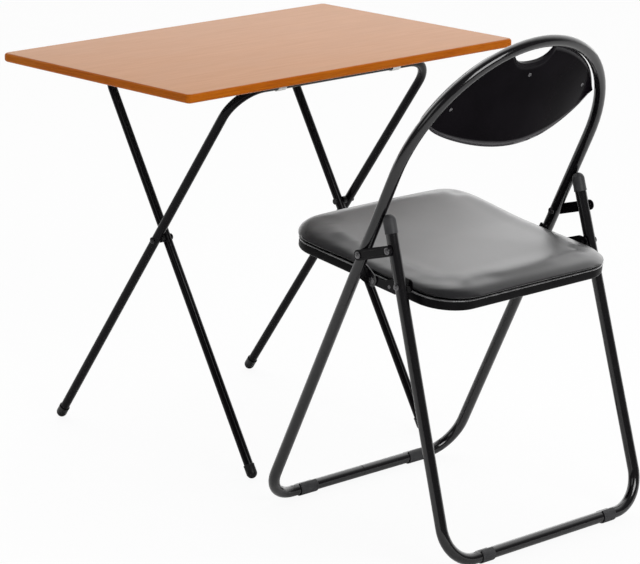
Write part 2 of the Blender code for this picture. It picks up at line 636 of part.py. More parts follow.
bracket_radii = (BRACKET_END_RADIUS / 2, BRACKET_END_RADIUS / 2, BRACKET_END_RADIUS * 1.5,
                 BRACKET_END_RADIUS * 0.9, BRACKET_END_RADIUS * 0.9, BRACKET_END_RADIUS * 0.9,
                 BRACKET_END_RADIUS / 2)
bracket_outline = rounded(bracket_corners, bracket_radii, True, CORNER_STEPS)
bracket_screws = [tilt @ Vector((BRACKET_FRONT_REACH * 0.7, band_middle)),
                  tilt @ Vector((-BRACKET_REAR_REACH * 0.72, band_middle))]
link_outline = slot((0, 0), in_view(link_rear_pivot, link_pivot), LINK_END_RADIUS)


def rivet(name, carrier, side, outer, inner, point, outer_head, inner_head, shoulder=0.0):
    """A rivet along X between two faces: outer and inner give its grip, measured from the chair's middle."""
    profile = []
    if outer_head:
        profile += dome(RIVET_HEAD_RADIUS, outer + GAP, outer_head)
    else:
        profile += [(0, outer)]
    top = outer + GAP if outer_head else outer
    profile += [(RIVET_RADIUS, top)]
    if shoulder:
        profile += [(RIVET_RADIUS, shoulder), (SHOULDER_RADIUS, shoulder), (SHOULDER_RADIUS, inner),
                    (0, inner)]
    elif inner_head:
        profile += [(RIVET_RADIUS, inner - GAP), (RIVET_HEAD_RADIUS, inner - GAP),
                    (RIVET_HEAD_RADIUS, inner - GAP - inner_head), (0, inner - GAP - inner_head)]
    else:
        profile += [(RIVET_RADIUS, inner), (0, inner)]
    return turned(name, profile, steel_bright, carrier, (0, *point), (0, side * math.pi / 2, 0))


for side, word in SIDES:
    loop_plate = plate("chair_loop_plate_" + word, [loop_plate_outline], BRACKET_THICKNESS, steel_black,
                       chair_frame, (side * plate_x, *seat_pivot), SIDE_VIEW)
    block = plate("loop_plate_block_" + word, [block_outline], block_outer - block_inner, None, chair_frame,
                  (side * (block_outer + block_inner) / 2, *seat_pivot), SIDE_VIEW)
    cut(loop_plate, block, "UNION")
    tube_hole = rod("loop_plate_seat_" + word, TUBE_RADIUS + GAP, 4 * plate_half, chair_frame,
                    (side * LOOP_HALF_WIDTH, *on_loop(SEAT_PIVOT_HEIGHT)), (loop_slope - math.pi / 2, 0, 0))
    cut(loop_plate, tube_hole)
    bracket = plate("chair_seat_bracket_" + word, [bracket_outline], BRACKET_THICKNESS, steel_black,
                    seat_axis, (side * bracket_x, *seat_pivot), SIDE_VIEW)
    link = plate("chair_link_" + word, [link_outline], LINK_THICKNESS, steel_black, link_axes[word],
                 (side * link_x, *link_pivot), SIDE_VIEW)

    front_hole = rod("seat_pivot_hole_" + word, rivet_hole, 2 * OVERRUN, chair_frame,
                     (side * plate_x, *seat_pivot))
    cut(loop_plate, front_hole)
    cut(bracket, front_hole)
    rivet("chair_seat_front_rivet_" + word, chair_frame, side, plate_x + BRACKET_THICKNESS / 2,
          bracket_x - BRACKET_THICKNESS / 2, seat_pivot, THIN_HEAD_HEIGHT, 0)

    rear_x = rear_half_width(SEAT_REAR_PIVOT)
    rear_hole = rod("seat_rear_pivot_hole_" + word, rivet_hole, 2 * (rear_x - seat_side), seat_axis,
                    (side * rear_x, *seat_rear_pivot))
    cut(bracket, rear_hole)
    cut(rear_frame, rear_hole)
    rear_out = rear_x + TUBE_RADIUS
    rivet("chair_seat_rear_rivet_" + word, seat_axis, side, rear_out, bracket_x - BRACKET_THICKNESS / 2,
          seat_rear_pivot, RIVET_HEAD_HEIGHT, 0)

    link_hole = rod("link_pivot_hole_" + word, rivet_hole, 2 * (TUBE_RADIUS + LINK_THICKNESS + OVERRUN),
                    chair_frame, (side * LOOP_HALF_WIDTH, *link_pivot))
    cut(loop, link_hole)
    cut(link, link_hole)
    rivet("chair_link_front_rivet_" + word, chair_frame, side, link_x + LINK_THICKNESS / 2,
          LOOP_HALF_WIDTH - TUBE_RADIUS, link_pivot, RIVET_HEAD_HEIGHT, THIN_HEAD_HEIGHT)

    link_rear_hole = rod("link_rear_hole_" + word, rivet_hole, LINK_THICKNESS + OVERRUN, link_axes[word],
                         (side * link_x, *link_rear_pivot))
    cut(link, link_rear_hole)
    shoulder_end = rear_half_width(LINK_REAR_PIVOT) + TUBE_RADIUS + OPEN_PIVOT_GAP
    rivet("chair_link_rear_rivet_" + word, link_axes[word], side, link_x + LINK_THICKNESS / 2, shoulder_end,
          link_rear_pivot, RIVET_HEAD_HEIGHT, 0, shoulder=link_x - LINK_THICKNESS / 2 - GAP)

# Seat base and cushion, in a frame tilted about the seat pivot
seat_turn = (SEAT_TILT, 0, 0)
base_bottom = -SEAT_BASE_BELOW_PIVOT
base_top = base_bottom + SEAT_BASE_THICKNESS


def seat_outline(inset, scale=1.0):
    outline = rectangle(seat_side - inset, SEAT_FRONT_REACH - SEAT_LENGTH + inset, SEAT_FRONT_REACH - inset,
                        SEAT_REAR_CORNER - inset, SEAT_FRONT_CORNER - inset)
    middle = Vector((0, SEAT_FRONT_REACH - SEAT_LENGTH / 2))
    return [middle + (point - middle) * scale for point in outline]


base_level = Vector((0, (base_bottom + base_top) / 2))
base_shift = tilt @ base_level
seat_base = plate("chair_seat_base", [seat_outline(0)], SEAT_BASE_THICKNESS, plastic_black, seat_axis,
                  (0, seat_pivot.x + base_shift.x, seat_pivot.y + base_shift.y), seat_turn)
cushion_rings = []
for inset_share, height_share in CUSHION_RING_SHARES:
    height = base_top + GAP + CUSHION_HEIGHT * height_share
    cushion_rings.append([(x, y, height) for x, y in seat_outline(CUSHION_SOFT_EDGE * inset_share)])
for scale_share, height_share in CUSHION_CROWN_SHARES:
    height = base_top + GAP + CUSHION_HEIGHT * height_share
    cushion_rings.append([(x, y, height) for x, y in seat_outline(CUSHION_SOFT_EDGE, scale_share)])
stacked("chair_seat_cushion", cushion_rings, vinyl_black, seat_axis, (0, *seat_pivot), seat_turn)

# Screws through the seat brackets into the seat base
for side, word in SIDES:
    bracket = bpy.data.objects["chair_seat_bracket_" + word]
    bracket_face = bracket_x + BRACKET_THICKNESS / 2
    for end, point in zip(("front", "rear"), bracket_screws):
        name = f"chair_bracket_screw_{word}_{end}"
        place = (side * bracket_face, *(seat_pivot + point))
        # A countersunk screw, flush with the bracket so that the seat passes the loop's plate
        profile = [(0, -GAP), (2 * SCREW_RADIUS, -GAP), (SCREW_RADIUS, -GAP - BRACKET_THICKNESS / 2),
                   (SCREW_RADIUS, -SCREW_LENGTH), (0, -SCREW_LENGTH)]
        turned(name, profile, steel_bright, seat_axis, place, (0, side * math.pi / 2, 0))
        room = [(0, OVERRUN), (2 * SCREW_RADIUS + GAP, OVERRUN), (2 * SCREW_RADIUS + GAP, -GAP),
                (SCREW_RADIUS + GAP, -GAP - BRACKET_THICKNESS / 2),
                (SCREW_RADIUS + GAP, -SCREW_LENGTH - GAP), (0, -SCREW_LENGTH - GAP)]
        hole = turned(name + "_hole", room, None, seat_axis, place, (0, side * math.pi / 2, 0))
        cut(bracket, hole)
        cut(seat_base, hole)


def arch_outline(radius, inset, scale=1.0):
    """The arch down to the backrest's curved lower edge, drawn in by an inset, then scaled."""
    radius -= inset
    low = SHELL_LOWER_EDGE + inset - LOOP_STRAIGHT
    rise = SHELL_EDGE_RISE / LOOP_HALF_WIDTH ** 2
    linear = 2 * rise * low + 1
    half = math.sqrt((math.sqrt(linear ** 2 - 4 * rise ** 2 * (low ** 2 - radius ** 2)) - linear)
                     / (2 * rise ** 2))
    corner = math.acos(half / radius)
    steps = 2 * ARCH_STEPS
    outline = arc(radius, corner, math.pi - corner, steps)
    for step in range(1, steps):
        x = half * (2 * step / steps - 1)
        outline.append((x, low + rise * x * x))
    middle = Vector((0, (radius + low) / 2))
    shift = Vector((0, LOOP_STRAIGHT))
    return [middle + (Vector(point) - middle) * scale + shift for point in outline]


# Backrest shell: its flat front lies against the pad, its rear bulges at the lower edge
shell_front = -TUBE_RADIUS + GAP
shell_depth = SHELL_REAR + SHELL_BULGE + OVERRUN - shell_front
shell_radius = LOOP_HALF_WIDTH - TUBE_RADIUS - GAP
loop_origin = Vector((0, 0, bar_level))


def above_loop_plane(setback):
    shift = behind_loop * setback
    return loop_origin + Vector((0, shift.x, shift.y))


shell = plate("chair_backrest_shell", [arch_outline(shell_radius, 0)], shell_depth, shell_black, chair_frame,
              above_loop_plane(shell_front + shell_depth / 2), loop_turn)


def shell_rear(x, height):
    """How far behind the loop's axis the shell's rear face lies."""
    across = max(0, 1 - (x / SHELL_BULGE_HALF_WIDTH) ** 2)
    top = LOOP_STRAIGHT + shell_radius
    up = min(1, max(0, (height - SHELL_LOWER_EDGE) / (top - SHELL_LOWER_EDGE)))
    return SHELL_REAR + SHELL_BULGE * across * (1 - up) ** 0.9


grid = bmesh.new()
bmesh.ops.create_grid(grid, x_segments=20, y_segments=10, size=1)
grid_low = SHELL_LOWER_EDGE - OVERRUN
grid_high = LOOP_STRAIGHT + shell_radius + OVERRUN
for vert in grid.verts:
    x = vert.co.x * (shell_radius + OVERRUN)
    y = grid_low + (grid_high - grid_low) * (vert.co.y + 1) / 2
    vert.co = (x, y, shell_rear(x, y))
grid_mesh = bpy.data.meshes.new("shell_rear_face")
grid.to_mesh(grid_mesh)
grid.free()
rear_face = finish(bpy.data.objects.new("shell_rear_face", grid_mesh), None, chair_frame, loop_origin,
                   loop_turn)
thicken = rear_face.modifiers.new("Thickness", "SOLIDIFY")
thicken.thickness = shell_depth + OVERRUN
thicken.offset = 1
cut(shell, rear_face)

pad_back = -TUBE_RADIUS - GAP
pad_rings = []
for inset_share, height_share in PAD_RING_SHARES:
    level = pad_back - PAD_THICKNESS * height_share
    pad_rings.append([(x, y, level) for x, y in arch_outline(PAD_RADIUS, PAD_SOFT_EDGE * inset_share)])
for scale_share, height_share in PAD_CROWN_SHARES:
    level = pad_back - PAD_THICKNESS * height_share
    pad_rings.append([(x, y, level) for x, y in arch_outline(PAD_RADIUS, PAD_SOFT_EDGE, scale_share)])
pad = stacked("chair_backrest_pad", pad_rings, vinyl_black, chair_frame, loop_origin, loop_turn)

# The hand hole below the top of the arch goes through shell and pad
hole_high = LOOP_STRAIGHT + LOOP_HALF_WIDTH + OVERRUN
hand_hole = plate("hand_hole", [rectangle(HAND_HOLE_HALF_WIDTH, HAND_HOLE_BOTTOM, hole_high,
                                          HAND_HOLE_CORNER, 0)],
                  2 * (PAD_THICKNESS + TUBE_RADIUS + OVERRUN), None, chair_frame, loop_origin, loop_turn)
cut(shell, hand_hole)
cut(pad, plate("pad_hole", [rectangle(HAND_HOLE_HALF_WIDTH + PAD_HOLE_MARGIN,
                                      HAND_HOLE_BOTTOM - PAD_HOLE_MARGIN, hole_high,
                                      HAND_HOLE_CORNER + PAD_HOLE_MARGIN, 0)],
               2 * (PAD_THICKNESS + TUBE_RADIUS + OVERRUN), None, chair_frame, loop_origin, loop_turn))

# Screws in the shell's rear face
for word, x, height in (("left", -BACK_SCREW_PLACE, BACK_SCREW_HEIGHT), ("top", 0, TOP_SCREW_HEIGHT),
                        ("right", BACK_SCREW_PLACE, BACK_SCREW_HEIGHT)):
    seat = shell_rear(x, height) - SCREW_HEAD_HEIGHT / 2
    place = above_loop_plane(seat) + Vector((x, *(up_loop * height)))
    profile = dome(SCREW_HEAD_RADIUS, 0, SCREW_HEAD_HEIGHT) + [
        (SCREW_RADIUS, 0), (SCREW_RADIUS, -SCREW_LENGTH * 0.8), (0, -SCREW_LENGTH * 0.8)]
    turned("chair_backrest_screw_" + word, profile, steel_bright, chair_frame, place, loop_turn)
    room = [(0, OVERRUN), (SCREW_HEAD_RADIUS + GAP, OVERRUN), (SCREW_HEAD_RADIUS + GAP, -GAP),
            (SCREW_RADIUS + GAP, -GAP), (SCREW_RADIUS + GAP, -SCREW_LENGTH * 0.8 - GAP),
            (0, -SCREW_LENGTH * 0.8 - GAP)]
    cut(shell, turned(f"backrest_screw_hole_{word}", room, None, chair_frame, place, loop_turn))
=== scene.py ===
# %% [markdown]
# # A folding desk and a folding chair
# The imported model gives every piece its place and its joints. This lesson gives the pieces their finish:
# bent tubes, a laminated top, a padded seat and the light of a plain studio. Lengths are in metres. The desk
# stands behind the chair, towards +Y.

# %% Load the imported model
import math

import bpy
from mathutils import Matrix, Vector


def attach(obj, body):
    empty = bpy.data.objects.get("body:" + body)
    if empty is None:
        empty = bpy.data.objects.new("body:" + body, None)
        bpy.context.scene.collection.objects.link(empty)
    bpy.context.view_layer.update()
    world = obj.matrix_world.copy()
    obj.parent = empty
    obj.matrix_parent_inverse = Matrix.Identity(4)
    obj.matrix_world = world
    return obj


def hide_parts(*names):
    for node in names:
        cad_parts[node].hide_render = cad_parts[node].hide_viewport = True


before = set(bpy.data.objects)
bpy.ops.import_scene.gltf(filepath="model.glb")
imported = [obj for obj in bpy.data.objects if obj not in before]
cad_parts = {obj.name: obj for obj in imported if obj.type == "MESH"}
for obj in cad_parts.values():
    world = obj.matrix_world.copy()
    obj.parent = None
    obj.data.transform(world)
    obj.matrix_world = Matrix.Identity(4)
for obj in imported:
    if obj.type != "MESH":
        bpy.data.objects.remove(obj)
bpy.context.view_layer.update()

# %% [markdown]
# ## The camera
# The photograph was taken from far away with a long lens, so lines that run away from the camera hardly
# draw together. The camera's place and lens were fitted to the straight edges of the desk and the chair.

# %% Camera
bpy.ops.object.camera_add(location=(-3.4646, -3.717726, 1.6758),
                          rotation=(math.radians(90 - 14.96), 0, math.radians(-42.372)))
camera = bpy.context.object
camera.data.sensor_width = 36
camera.data.lens = 171.52
camera.data.clip_end = 60
bpy.context.scene.camera = camera
bpy.context.scene.view_settings.view_transform = "Standard"
print("lens", camera.data.lens, "mm")

# %% [markdown]
# ## Writing a finish
# A finish is a small net of nodes. A Net adds a node from its type, its settings and the values of its
# sockets. A Flow is a number that changes over the surface: adding or multiplying it adds the Math nodes. A
# Finish is the net of one material. Patterns read Object coordinates, which stay put on a moving piece.

# %% Finish helpers
class Flow:
    """A number that varies over a surface. Sums with it add Math nodes to its finish."""

    def __init__(self, finish, socket):
        self.finish, self.socket = finish, socket

    def maths(self, operation, *values):
        return self.finish.add("ShaderNodeMath", {"operation": operation}, dict(enumerate(values)))

    def __add__(self, other):
        return self.maths("ADD", self, other)

    def __rsub__(self, other):
        return self.maths("SUBTRACT", other, self)

    def __mul__(self, other):
        return self.maths("MULTIPLY", self, other)

    def steps(self, low, high):
        """From 0 to 1, smoothly, while this number goes from low to high."""
        return self.finish.add("ShaderNodeMapRange", {"interpolation_type": "SMOOTHSTEP"},
                               {"Value": self, "From Min": low, "From Max": high})

    __radd__, __rmul__ = __add__, __mul__


class Net:
    """A tree of shader nodes."""

    def __init__(self, tree):
        self.tree = tree

    def feed(self, socket, value):
        if isinstance(value, Flow):
            self.tree.links.new(value.socket, socket)
        elif socket.type == "RGBA":
            socket.default_value = (*value, 1)
        else:
            socket.default_value = value

    def add(self, kind, settings, values, out=0):
        node = self.tree.nodes.new(kind)
        for setting, value in settings.items():
            setattr(node, setting, value)
        for socket, value in values.items():
            self.feed(node.inputs[socket], value)
        return Flow(self, node.outputs[out])


class Finish(Net):
    """A material for one kind of surface, named after what it is."""

    def __init__(self, name, slot, **plain):
        self.material, self.slot = bpy.data.materials.new(name), slot
        self.material.use_nodes = True
        super().__init__(self.material.node_tree)
        self.shader = self.tree.nodes["Principled BSDF"]
        self.wear(**plain)

    def wear(self, **values):
        """Sets or links sockets of the surface shader: Base_Color is its Base Color."""
        for socket, value in values.items():
            self.feed(self.shader.inputs[socket.replace("_", " ")], value)

    def on_piece(self, scale=(1, 1, 1), turn=(0, 0, 0)):
        """The place on the piece in metres, turned and stretched."""
        place = self.add("ShaderNodeTexCoord", {}, {}, "Object")
        return self.add("ShaderNodeMapping", {}, {"Vector": place, "Scale": scale, "Rotation": turn})

    def noise(self, place, scale, detail=3.0, roughness=0.5):
        return self.add("ShaderNodeTexNoise", {}, {"Vector": place, "Scale": scale, "Detail": detail,
                                                  "Roughness": roughness})

    def cells(self, place, scale, feature="F1"):
        return self.add("ShaderNodeTexVoronoi", {"feature": feature}, {"Vector": place, "Scale": scale})

    def mix(self, share, first, second):
        return self.add("ShaderNodeMix", {"data_type": "RGBA"}, {0: share, 6: first, 7: second}, 2)

    def bump(self, height, metres):
        return self.add("ShaderNodeBump", {}, {"Height": height, "Distance": metres, "Strength": 1.0})


print("finish helpers ready")

# %% [markdown]
# ## Paint, plastics and metal
# The tubes carry a thick gloss enamel, deeper on the desk than on the chair. A very low, fine bump breaks up
# its reflections, and its gloss is uneven where it was handled. The moulded plastics are duller, with a fine
# spark texture. The zinc is brushed by tumbling. The chair's rivets and screws are blackened.

# %% Hard finishes
def gloss_paint(name, slot, density, coat):
    paint = Finish(name, slot, IOR=density, Coat_Weight=coat, Coat_Roughness=0.06)
    place = paint.on_piece()
    skin = paint.noise(place, 260, 2)
    handled = paint.noise(place, 9, 4).steps(0.42, 0.68)
    scuffs = paint.noise(paint.on_piece((1, 1, 0.25)), 190, 5, 0.7).steps(0.66, 0.78)
    paint.wear(Base_Color=paint.mix(scuffs * 0.35, (0.0035, 0.0030, 0.0038), (0.030, 0.029, 0.031)),
               Roughness=0.13 + handled * 0.05 + scuffs * 0.10, Normal=paint.bump(skin, 0.00004))
    return paint


def moulded(name, slot, light, dark, roughness, density=1.30):
    plastic = Finish(name, slot, IOR=density)
    place = plastic.on_piece()
    spark = plastic.noise(place, 1400, 2, 0.6)
    cloud = plastic.noise(place, 40, 3)
    plastic.wear(Base_Color=plastic.mix(cloud.steps(0.3, 0.7), dark, light),
                 Roughness=roughness + cloud * 0.10, Normal=plastic.bump(spark, 0.00006))
    return plastic


def blackened_steel(name, dark, light):
    steel = Finish(name, "bright_zinc", Metallic=1.0)
    marks = steel.noise(steel.on_piece(), 420, 4, 0.65)
    steel.wear(Base_Color=steel.mix(marks.steps(0.35, 0.7), dark, light),
               Roughness=0.20 + marks * 0.14, Normal=steel.bump(marks, 0.00003))
    return steel


desk_paint = gloss_paint("deep_black_enamel", "black_painted_tube", 1.18, 0.06)
paint = gloss_paint("gloss_black_enamel", "black_painted_tube", 1.44, 0.40)
zinc = Finish("tumbled_zinc", "bright_zinc", Metallic=1.0)
place = zinc.on_piece()
spangle = zinc.cells(place, 700)
marks = zinc.noise(place, 300, 4, 0.65)
zinc.wear(Base_Color=zinc.mix(marks.steps(0.35, 0.7), (0.50, 0.50, 0.49), (0.74, 0.74, 0.72)),
          Roughness=0.22 + marks * 0.16 + spangle * 0.05, Normal=zinc.bump(marks, 0.00003))
blackened = blackened_steel("blackened_steel", (0.090, 0.087, 0.091), (0.210, 0.205, 0.210))
blacker = blackened_steel("oiled_black_steel", (0.018, 0.017, 0.018), (0.045, 0.044, 0.045))
black_plastic = moulded("matt_black_plastic", "black_plastic", (0.0075, 0.0072, 0.0078),
                        (0.0045, 0.0043, 0.0048), 0.34)
tray_plastic = moulded("satin_black_tray", "black_plastic", (0.0060, 0.0058, 0.0062),
                       (0.0040, 0.0038, 0.0042), 0.24, 1.12)
grey_plastic = moulded("dark_grey_plastic_cap", "dark_grey_plastic", (0.050, 0.050, 0.052),
                       (0.036, 0.036, 0.038), 0.40)
print(paint.material.name, zinc.material.name, black_plastic.material.name, grey_plastic.material.name)

# %% [markdown]
# ## Moving between flat drawing and place
# Each piece is drawn flat, as a workshop would draw it: x across, y up the slope, z behind. Then the drawing
# is tilted into place. fit() names the piece, gives it its finish, hands it to its body and hides the solid
# it stands for.

# %% Places, and handing a piece over
GAP = 0.0003
DESK_Y = 0.232774
CHAIR = Vector((-0.0603, -0.090826, 0))
HANDS = ((-1, "left"), (1, "right"))


def tilted(place, slope):
    return Matrix.Translation(place) @ Matrix.Rotation(slope, 4, "X")


def to_mode(mode):
    bpy.ops.object.mode_set(mode=mode)


def start_fresh(piece=None):
    """Leaves edit mode with nothing selected but the given piece. Editing starts with points."""
    if bpy.context.object and bpy.context.object.mode != "OBJECT":
        to_mode("OBJECT")
    bpy.ops.object.select_all(action="DESELECT")
    bpy.context.tool_settings.mesh_select_mode = (True, False, False)
    if piece:
        piece.select_set(True)
        bpy.context.view_layer.objects.active = piece


def settle(place):
    """Leaves edit mode and puts the piece's place in its mesh."""
    to_mode("OBJECT")
    piece = bpy.context.object
    bpy.context.view_layer.update()
    piece.matrix_world = place @ piece.matrix_world
    bpy.ops.object.transform_apply(location=True, rotation=True, scale=True)
    return piece


def fit(piece, name, finish, body, *nodes, angle=32):
    if not piece.data.polygons:
        raise ValueError(name + " has no faces")
    piece.name = piece.data.name = name
    piece.data.materials.clear()
    piece.data.materials.append(finish.material)
    start_fresh(piece)
    bpy.ops.object.shade_smooth_by_angle(angle=math.radians(angle))
    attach(piece, body)
    if nodes:
        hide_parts(*nodes)
    print(name, "has", len(piece.data.polygons), "faces")
    return piece


# %% [markdown]
# ## Bent tubes
# A bender draws tube straight through, and swings it round a die at each bend. Here a ring of points is
# extruded straight on, then spun round the middle of each bend.

# %% Tube helper
SIDES = 28
BEND_STEP = 4.5


def select_everything():
    bpy.ops.mesh.select_all(action="SELECT")


def face_outwards():
    select_everything()
    bpy.ops.mesh.normals_make_consistent(inside=False)


def weld(threshold=1e-6):
    """Joins doubled points, then turns all faces outwards."""
    select_everything()
    bpy.ops.mesh.remove_doubles(threshold=threshold)
    face_outwards()


def bend_tube(radius, start, along, moves, closed=False):
    """A tube in the drawing's plane. A move is a length, or (degrees to the left, bend radius)."""
    start_fresh()
    place, along = Vector((*start, 0)), Vector((*along, 0)).normalized()
    bpy.ops.mesh.primitive_circle_add(vertices=SIDES, radius=radius, enter_editmode=True, location=place,
                                      rotation=along.to_track_quat("Z", "Y").to_euler())
    for move in moves:
        if isinstance(move, float):
            bpy.ops.mesh.extrude_region_move(TRANSFORM_OT_translate={"value": along * move})
            place += along * move
            continue
        degrees, bend = move
        middle = place + Vector((-along.y, along.x, 0)) * math.copysign(bend, degrees)
        # spin turns clockwise for a positive angle, hence the minus
        bpy.ops.mesh.spin(steps=max(4, round(abs(degrees) / BEND_STEP)), angle=-math.radians(degrees),
                          center=middle, axis=(0, 0, 1))
        turn = Matrix.Rotation(math.radians(degrees), 3, "Z")
        place, along = middle + turn @ (place - middle), turn @ along
    if closed:
        weld(1e-5)
    else:
        select_everything()
        bpy.ops.mesh.fill_holes(sides=0)
        face_outwards()


print("a bend of 90 degrees gets", round(90 / BEND_STEP), "steps")

# %% [markdown]
# ## The desk's legs
# Two U-shaped tubes cross like scissors. The inner one is narrower by a tube and a spacer on each side, so
# it turns inside the outer one.

# %% Desk legs
LEG_RADIUS, LEG_BEND, FOOT_RADIUS = 0.008, 0.060, 0.0095
BAR_HEIGHT, OUTER_BAR_Y, INNER_BAR_Y = 0.6762, 0.036174, 0.423774
OUTER_HALF, INNER_HALF = 0.2272, 0.2032
outer_slope = math.atan2(BAR_HEIGHT, -0.5016)
inner_slope = math.atan2(BAR_HEIGHT, 0.398)
outer_place = tilted((0, OUTER_BAR_Y, BAR_HEIGHT), outer_slope)
inner_place = tilted((0, INNER_BAR_Y, BAR_HEIGHT), inner_slope)
outer_length = (BAR_HEIGHT - FOOT_RADIUS) / math.sin(outer_slope)
inner_length = (BAR_HEIGHT - FOOT_RADIUS) / math.sin(inner_slope)


def leg_tube(half, length):
    side = length - LEG_BEND
    bend_tube(LEG_RADIUS, (-half, -length), (0, 1),
              [side, (-90, LEG_BEND), 2 * half - 2 * LEG_BEND, (-90, LEG_BEND), side])


leg_tube(OUTER_HALF, outer_length)
fit(settle(outer_place), "outer_leg_tube", desk_paint, "desk_outer_legs", "desk_outer_frame")
leg_tube(INNER_HALF, inner_length)
fit(settle(inner_place), "inner_leg_tube", desk_paint, "desk_inner_legs", "desk_inner_frame")

# %% [markdown]
# ## Turned pieces
# Caps, rivets, bolts and screw heads are all round, so one helper turns them as a lathe does. Half of the
# section is drawn as a line, point by point, with its edges broken, and spun once round.

# %% Lathe helper
def draw_line(points):
    """One vertex, pulled from point to point."""
    start_fresh()
    points = [Vector(point) for point in points]
    bpy.ops.mesh.primitive_plane_add(size=0.001, enter_editmode=True, location=points[0])
    bpy.ops.mesh.merge(type="CENTER")
    for before, after in zip(points, points[1:]):
        bpy.ops.mesh.extrude_region_move(TRANSFORM_OT_translate={"value": after - before})


def turn_round(section, steps=32):
    """Turns a section of (radius, height) points, from the top down its outer side, about Z."""
    draw_line([(radius, 0, height) for radius, height in section])
    select_everything()
    bpy.ops.mesh.spin(steps=steps, angle=math.tau, center=(0, 0, 0), axis=(0, 0, 1))
    weld()


def facing(place, direction):
    """A place whose Z looks along a direction."""
    return Matrix.Translation(place) @ Vector(direction).to_track_quat("Z", "Y").to_matrix().to_4x4()


def quarter(radius, low, high, steps=6):
    """A rounded end as section points, from its crown down to its full radius."""
    return [(radius * math.sin(math.pi / 2 * step / steps),
             low + (high - low) * math.cos(math.pi / 2 * step / steps)) for step in range(steps + 1)]


print("lathe ready")

# %% [markdown]
# ## Feet of the desk
# Each leg ends in a moulded cap, pushed over the tube. Its sole is round, and a small bead keeps its mouth
# from splitting. The bore is left open for the tube.

# %% Desk feet
bore = LEG_RADIUS + GAP
foot_section = [(bore, -GAP), (bore, 0.0155), (0.0092, 0.0155), (0.0097, 0.0150), (0.0097, 0.0132),
                (0.0094, 0.0126), (0.0095, 0.0)]
foot_section = [(0, -GAP)] + foot_section + [(radius, -height) for radius, height in
                                             reversed(quarter(FOOT_RADIUS, 0, FOOT_RADIUS))][1:]
for body, word, half, place, length in (("desk_outer_legs", "outer", OUTER_HALF, outer_place, outer_length),
                                        ("desk_inner_legs", "inner", INNER_HALF, inner_place, inner_length)):
    for side, hand in HANDS:
        turn_round(foot_section)
        stand = place @ Matrix.Translation((side * half, -length, 0)) @ Matrix.Rotation(-math.pi / 2, 4, "X")
        fit(settle(stand), f"{word}_foot_{hand}", black_plastic, body, f"desk_{word}_foot_cap_{hand}")

# %% [markdown]
# ## The crossing
# A bolt goes through both legs on each side, with a plastic washer between the tubes. Its head is low and
# domed, and its nut is as low.

# %% Crossing bolts and washers
CROSSING = Vector((0, 0.252292, 0.384854))
bolt_middle = (OUTER_HALF + INNER_HALF) / 2
grip = OUTER_HALF - bolt_middle + LEG_RADIUS + GAP
bolt_section = quarter(0.0058, grip + 0.0004, grip + 0.0016) + [
    (0.0058, grip), (0.003, grip), (0.003, -grip), (0.0055, -grip), (0.0058, -grip - 0.0003),
    (0.0058, -grip - 0.0016), (0.0052, -grip - 0.0022), (0, -grip - 0.0022)]
washer_section = [(0.0033, 0.0037), (0.0064, 0.0037), (0.0068, 0.0033), (0.0068, -0.0033),
                  (0.0064, -0.0037), (0.0033, -0.0037), (0.0033, 0.0037)]
for side, hand in HANDS:
    spot = CROSSING + Vector((side * bolt_middle, 0, 0))
    for word, section, finish, node in (("bolt", bolt_section, blacker, "bolt"),
                                        ("washer", washer_section, black_plastic, "spacer")):
        turn_round(section)
        fit(settle(facing(spot, (side, 0, 0))), f"crossing_{word}_{hand}", finish, "desk_outer_legs",
            f"desk_crossing_{node}_{hand}")

# %% [markdown]
# ## The top's laminate
# The top is chipboard under a printed laminate that imitates beech: a pinkish tan with faint streaks along
# the board and short dark flecks, all low in contrast. The underside has a plain grey backing paper. The
# edging is a warmer, orange brown strip, glued all round.

# %% Wood finishes
beech = Finish("beech_laminate_print", "beech_laminate", IOR=1.08)
streaks = beech.noise(beech.on_piece((1.1, 15, 1)), 9, 6, 0.62)
clouds = beech.noise(beech.on_piece((1, 1.6, 1)), 7, 4, 0.55)
flecks = beech.cells(beech.on_piece((60, 460, 60)), 1).steps(0.20, 0.06)
wood = beech.mix(streaks.steps(0.30, 0.70), (0.540, 0.300, 0.183), (0.580, 0.328, 0.206))
wood = beech.mix(clouds.steps(0.35, 0.75) * 0.45, wood, (0.553, 0.331, 0.222))
wood = beech.mix(flecks * 0.16, wood, (0.36, 0.20, 0.12))
normal = beech.add("ShaderNodeTexCoord", {}, {}, "Normal")
below = beech.add("ShaderNodeSeparateXYZ", {}, {0: normal}, "Z")
backing = beech.mix(streaks.steps(0.3, 0.7), (0.47, 0.46, 0.45), (0.53, 0.52, 0.51))
wood = beech.mix(below.steps(-0.4, -0.6), wood, backing)
pores = beech.noise(beech.on_piece((30, 260, 30)), 4, 2)
beech.wear(Base_Color=wood, Roughness=0.40 + clouds * 0.10, Normal=beech.bump(pores, 0.00003))

edging = Finish("orange_brown_edging", "brown_edging", IOR=1.15)
grain = edging.noise(edging.on_piece((1.5, 1.5, 60)), 12, 5, 0.6)
long_tone = edging.noise(edging.on_piece((1, 1, 0.2)), 6, 3)
tone = edging.mix(grain.steps(0.30, 0.70), (0.40, 0.086, 0.002), (0.50, 0.127, 0.004))
tone = edging.mix(long_tone.steps(0.40, 0.75) * 0.40, tone, (0.59, 0.190, 0.010))
edging.wear(Base_Color=tone, Roughness=0.34 + grain * 0.10, Normal=edging.bump(grain, 0.00004))
print(beech.material.name, edging.material.name)

# %% [markdown]
# ## The top
# A box is given its size, then its four upright corners are rounded. The board gets a hair of rounding at
# its arris. The edging is the same box, larger by the strip, with its top and bottom rounded generously. A
# box of the board's outline is cut out of it, which leaves a ring.

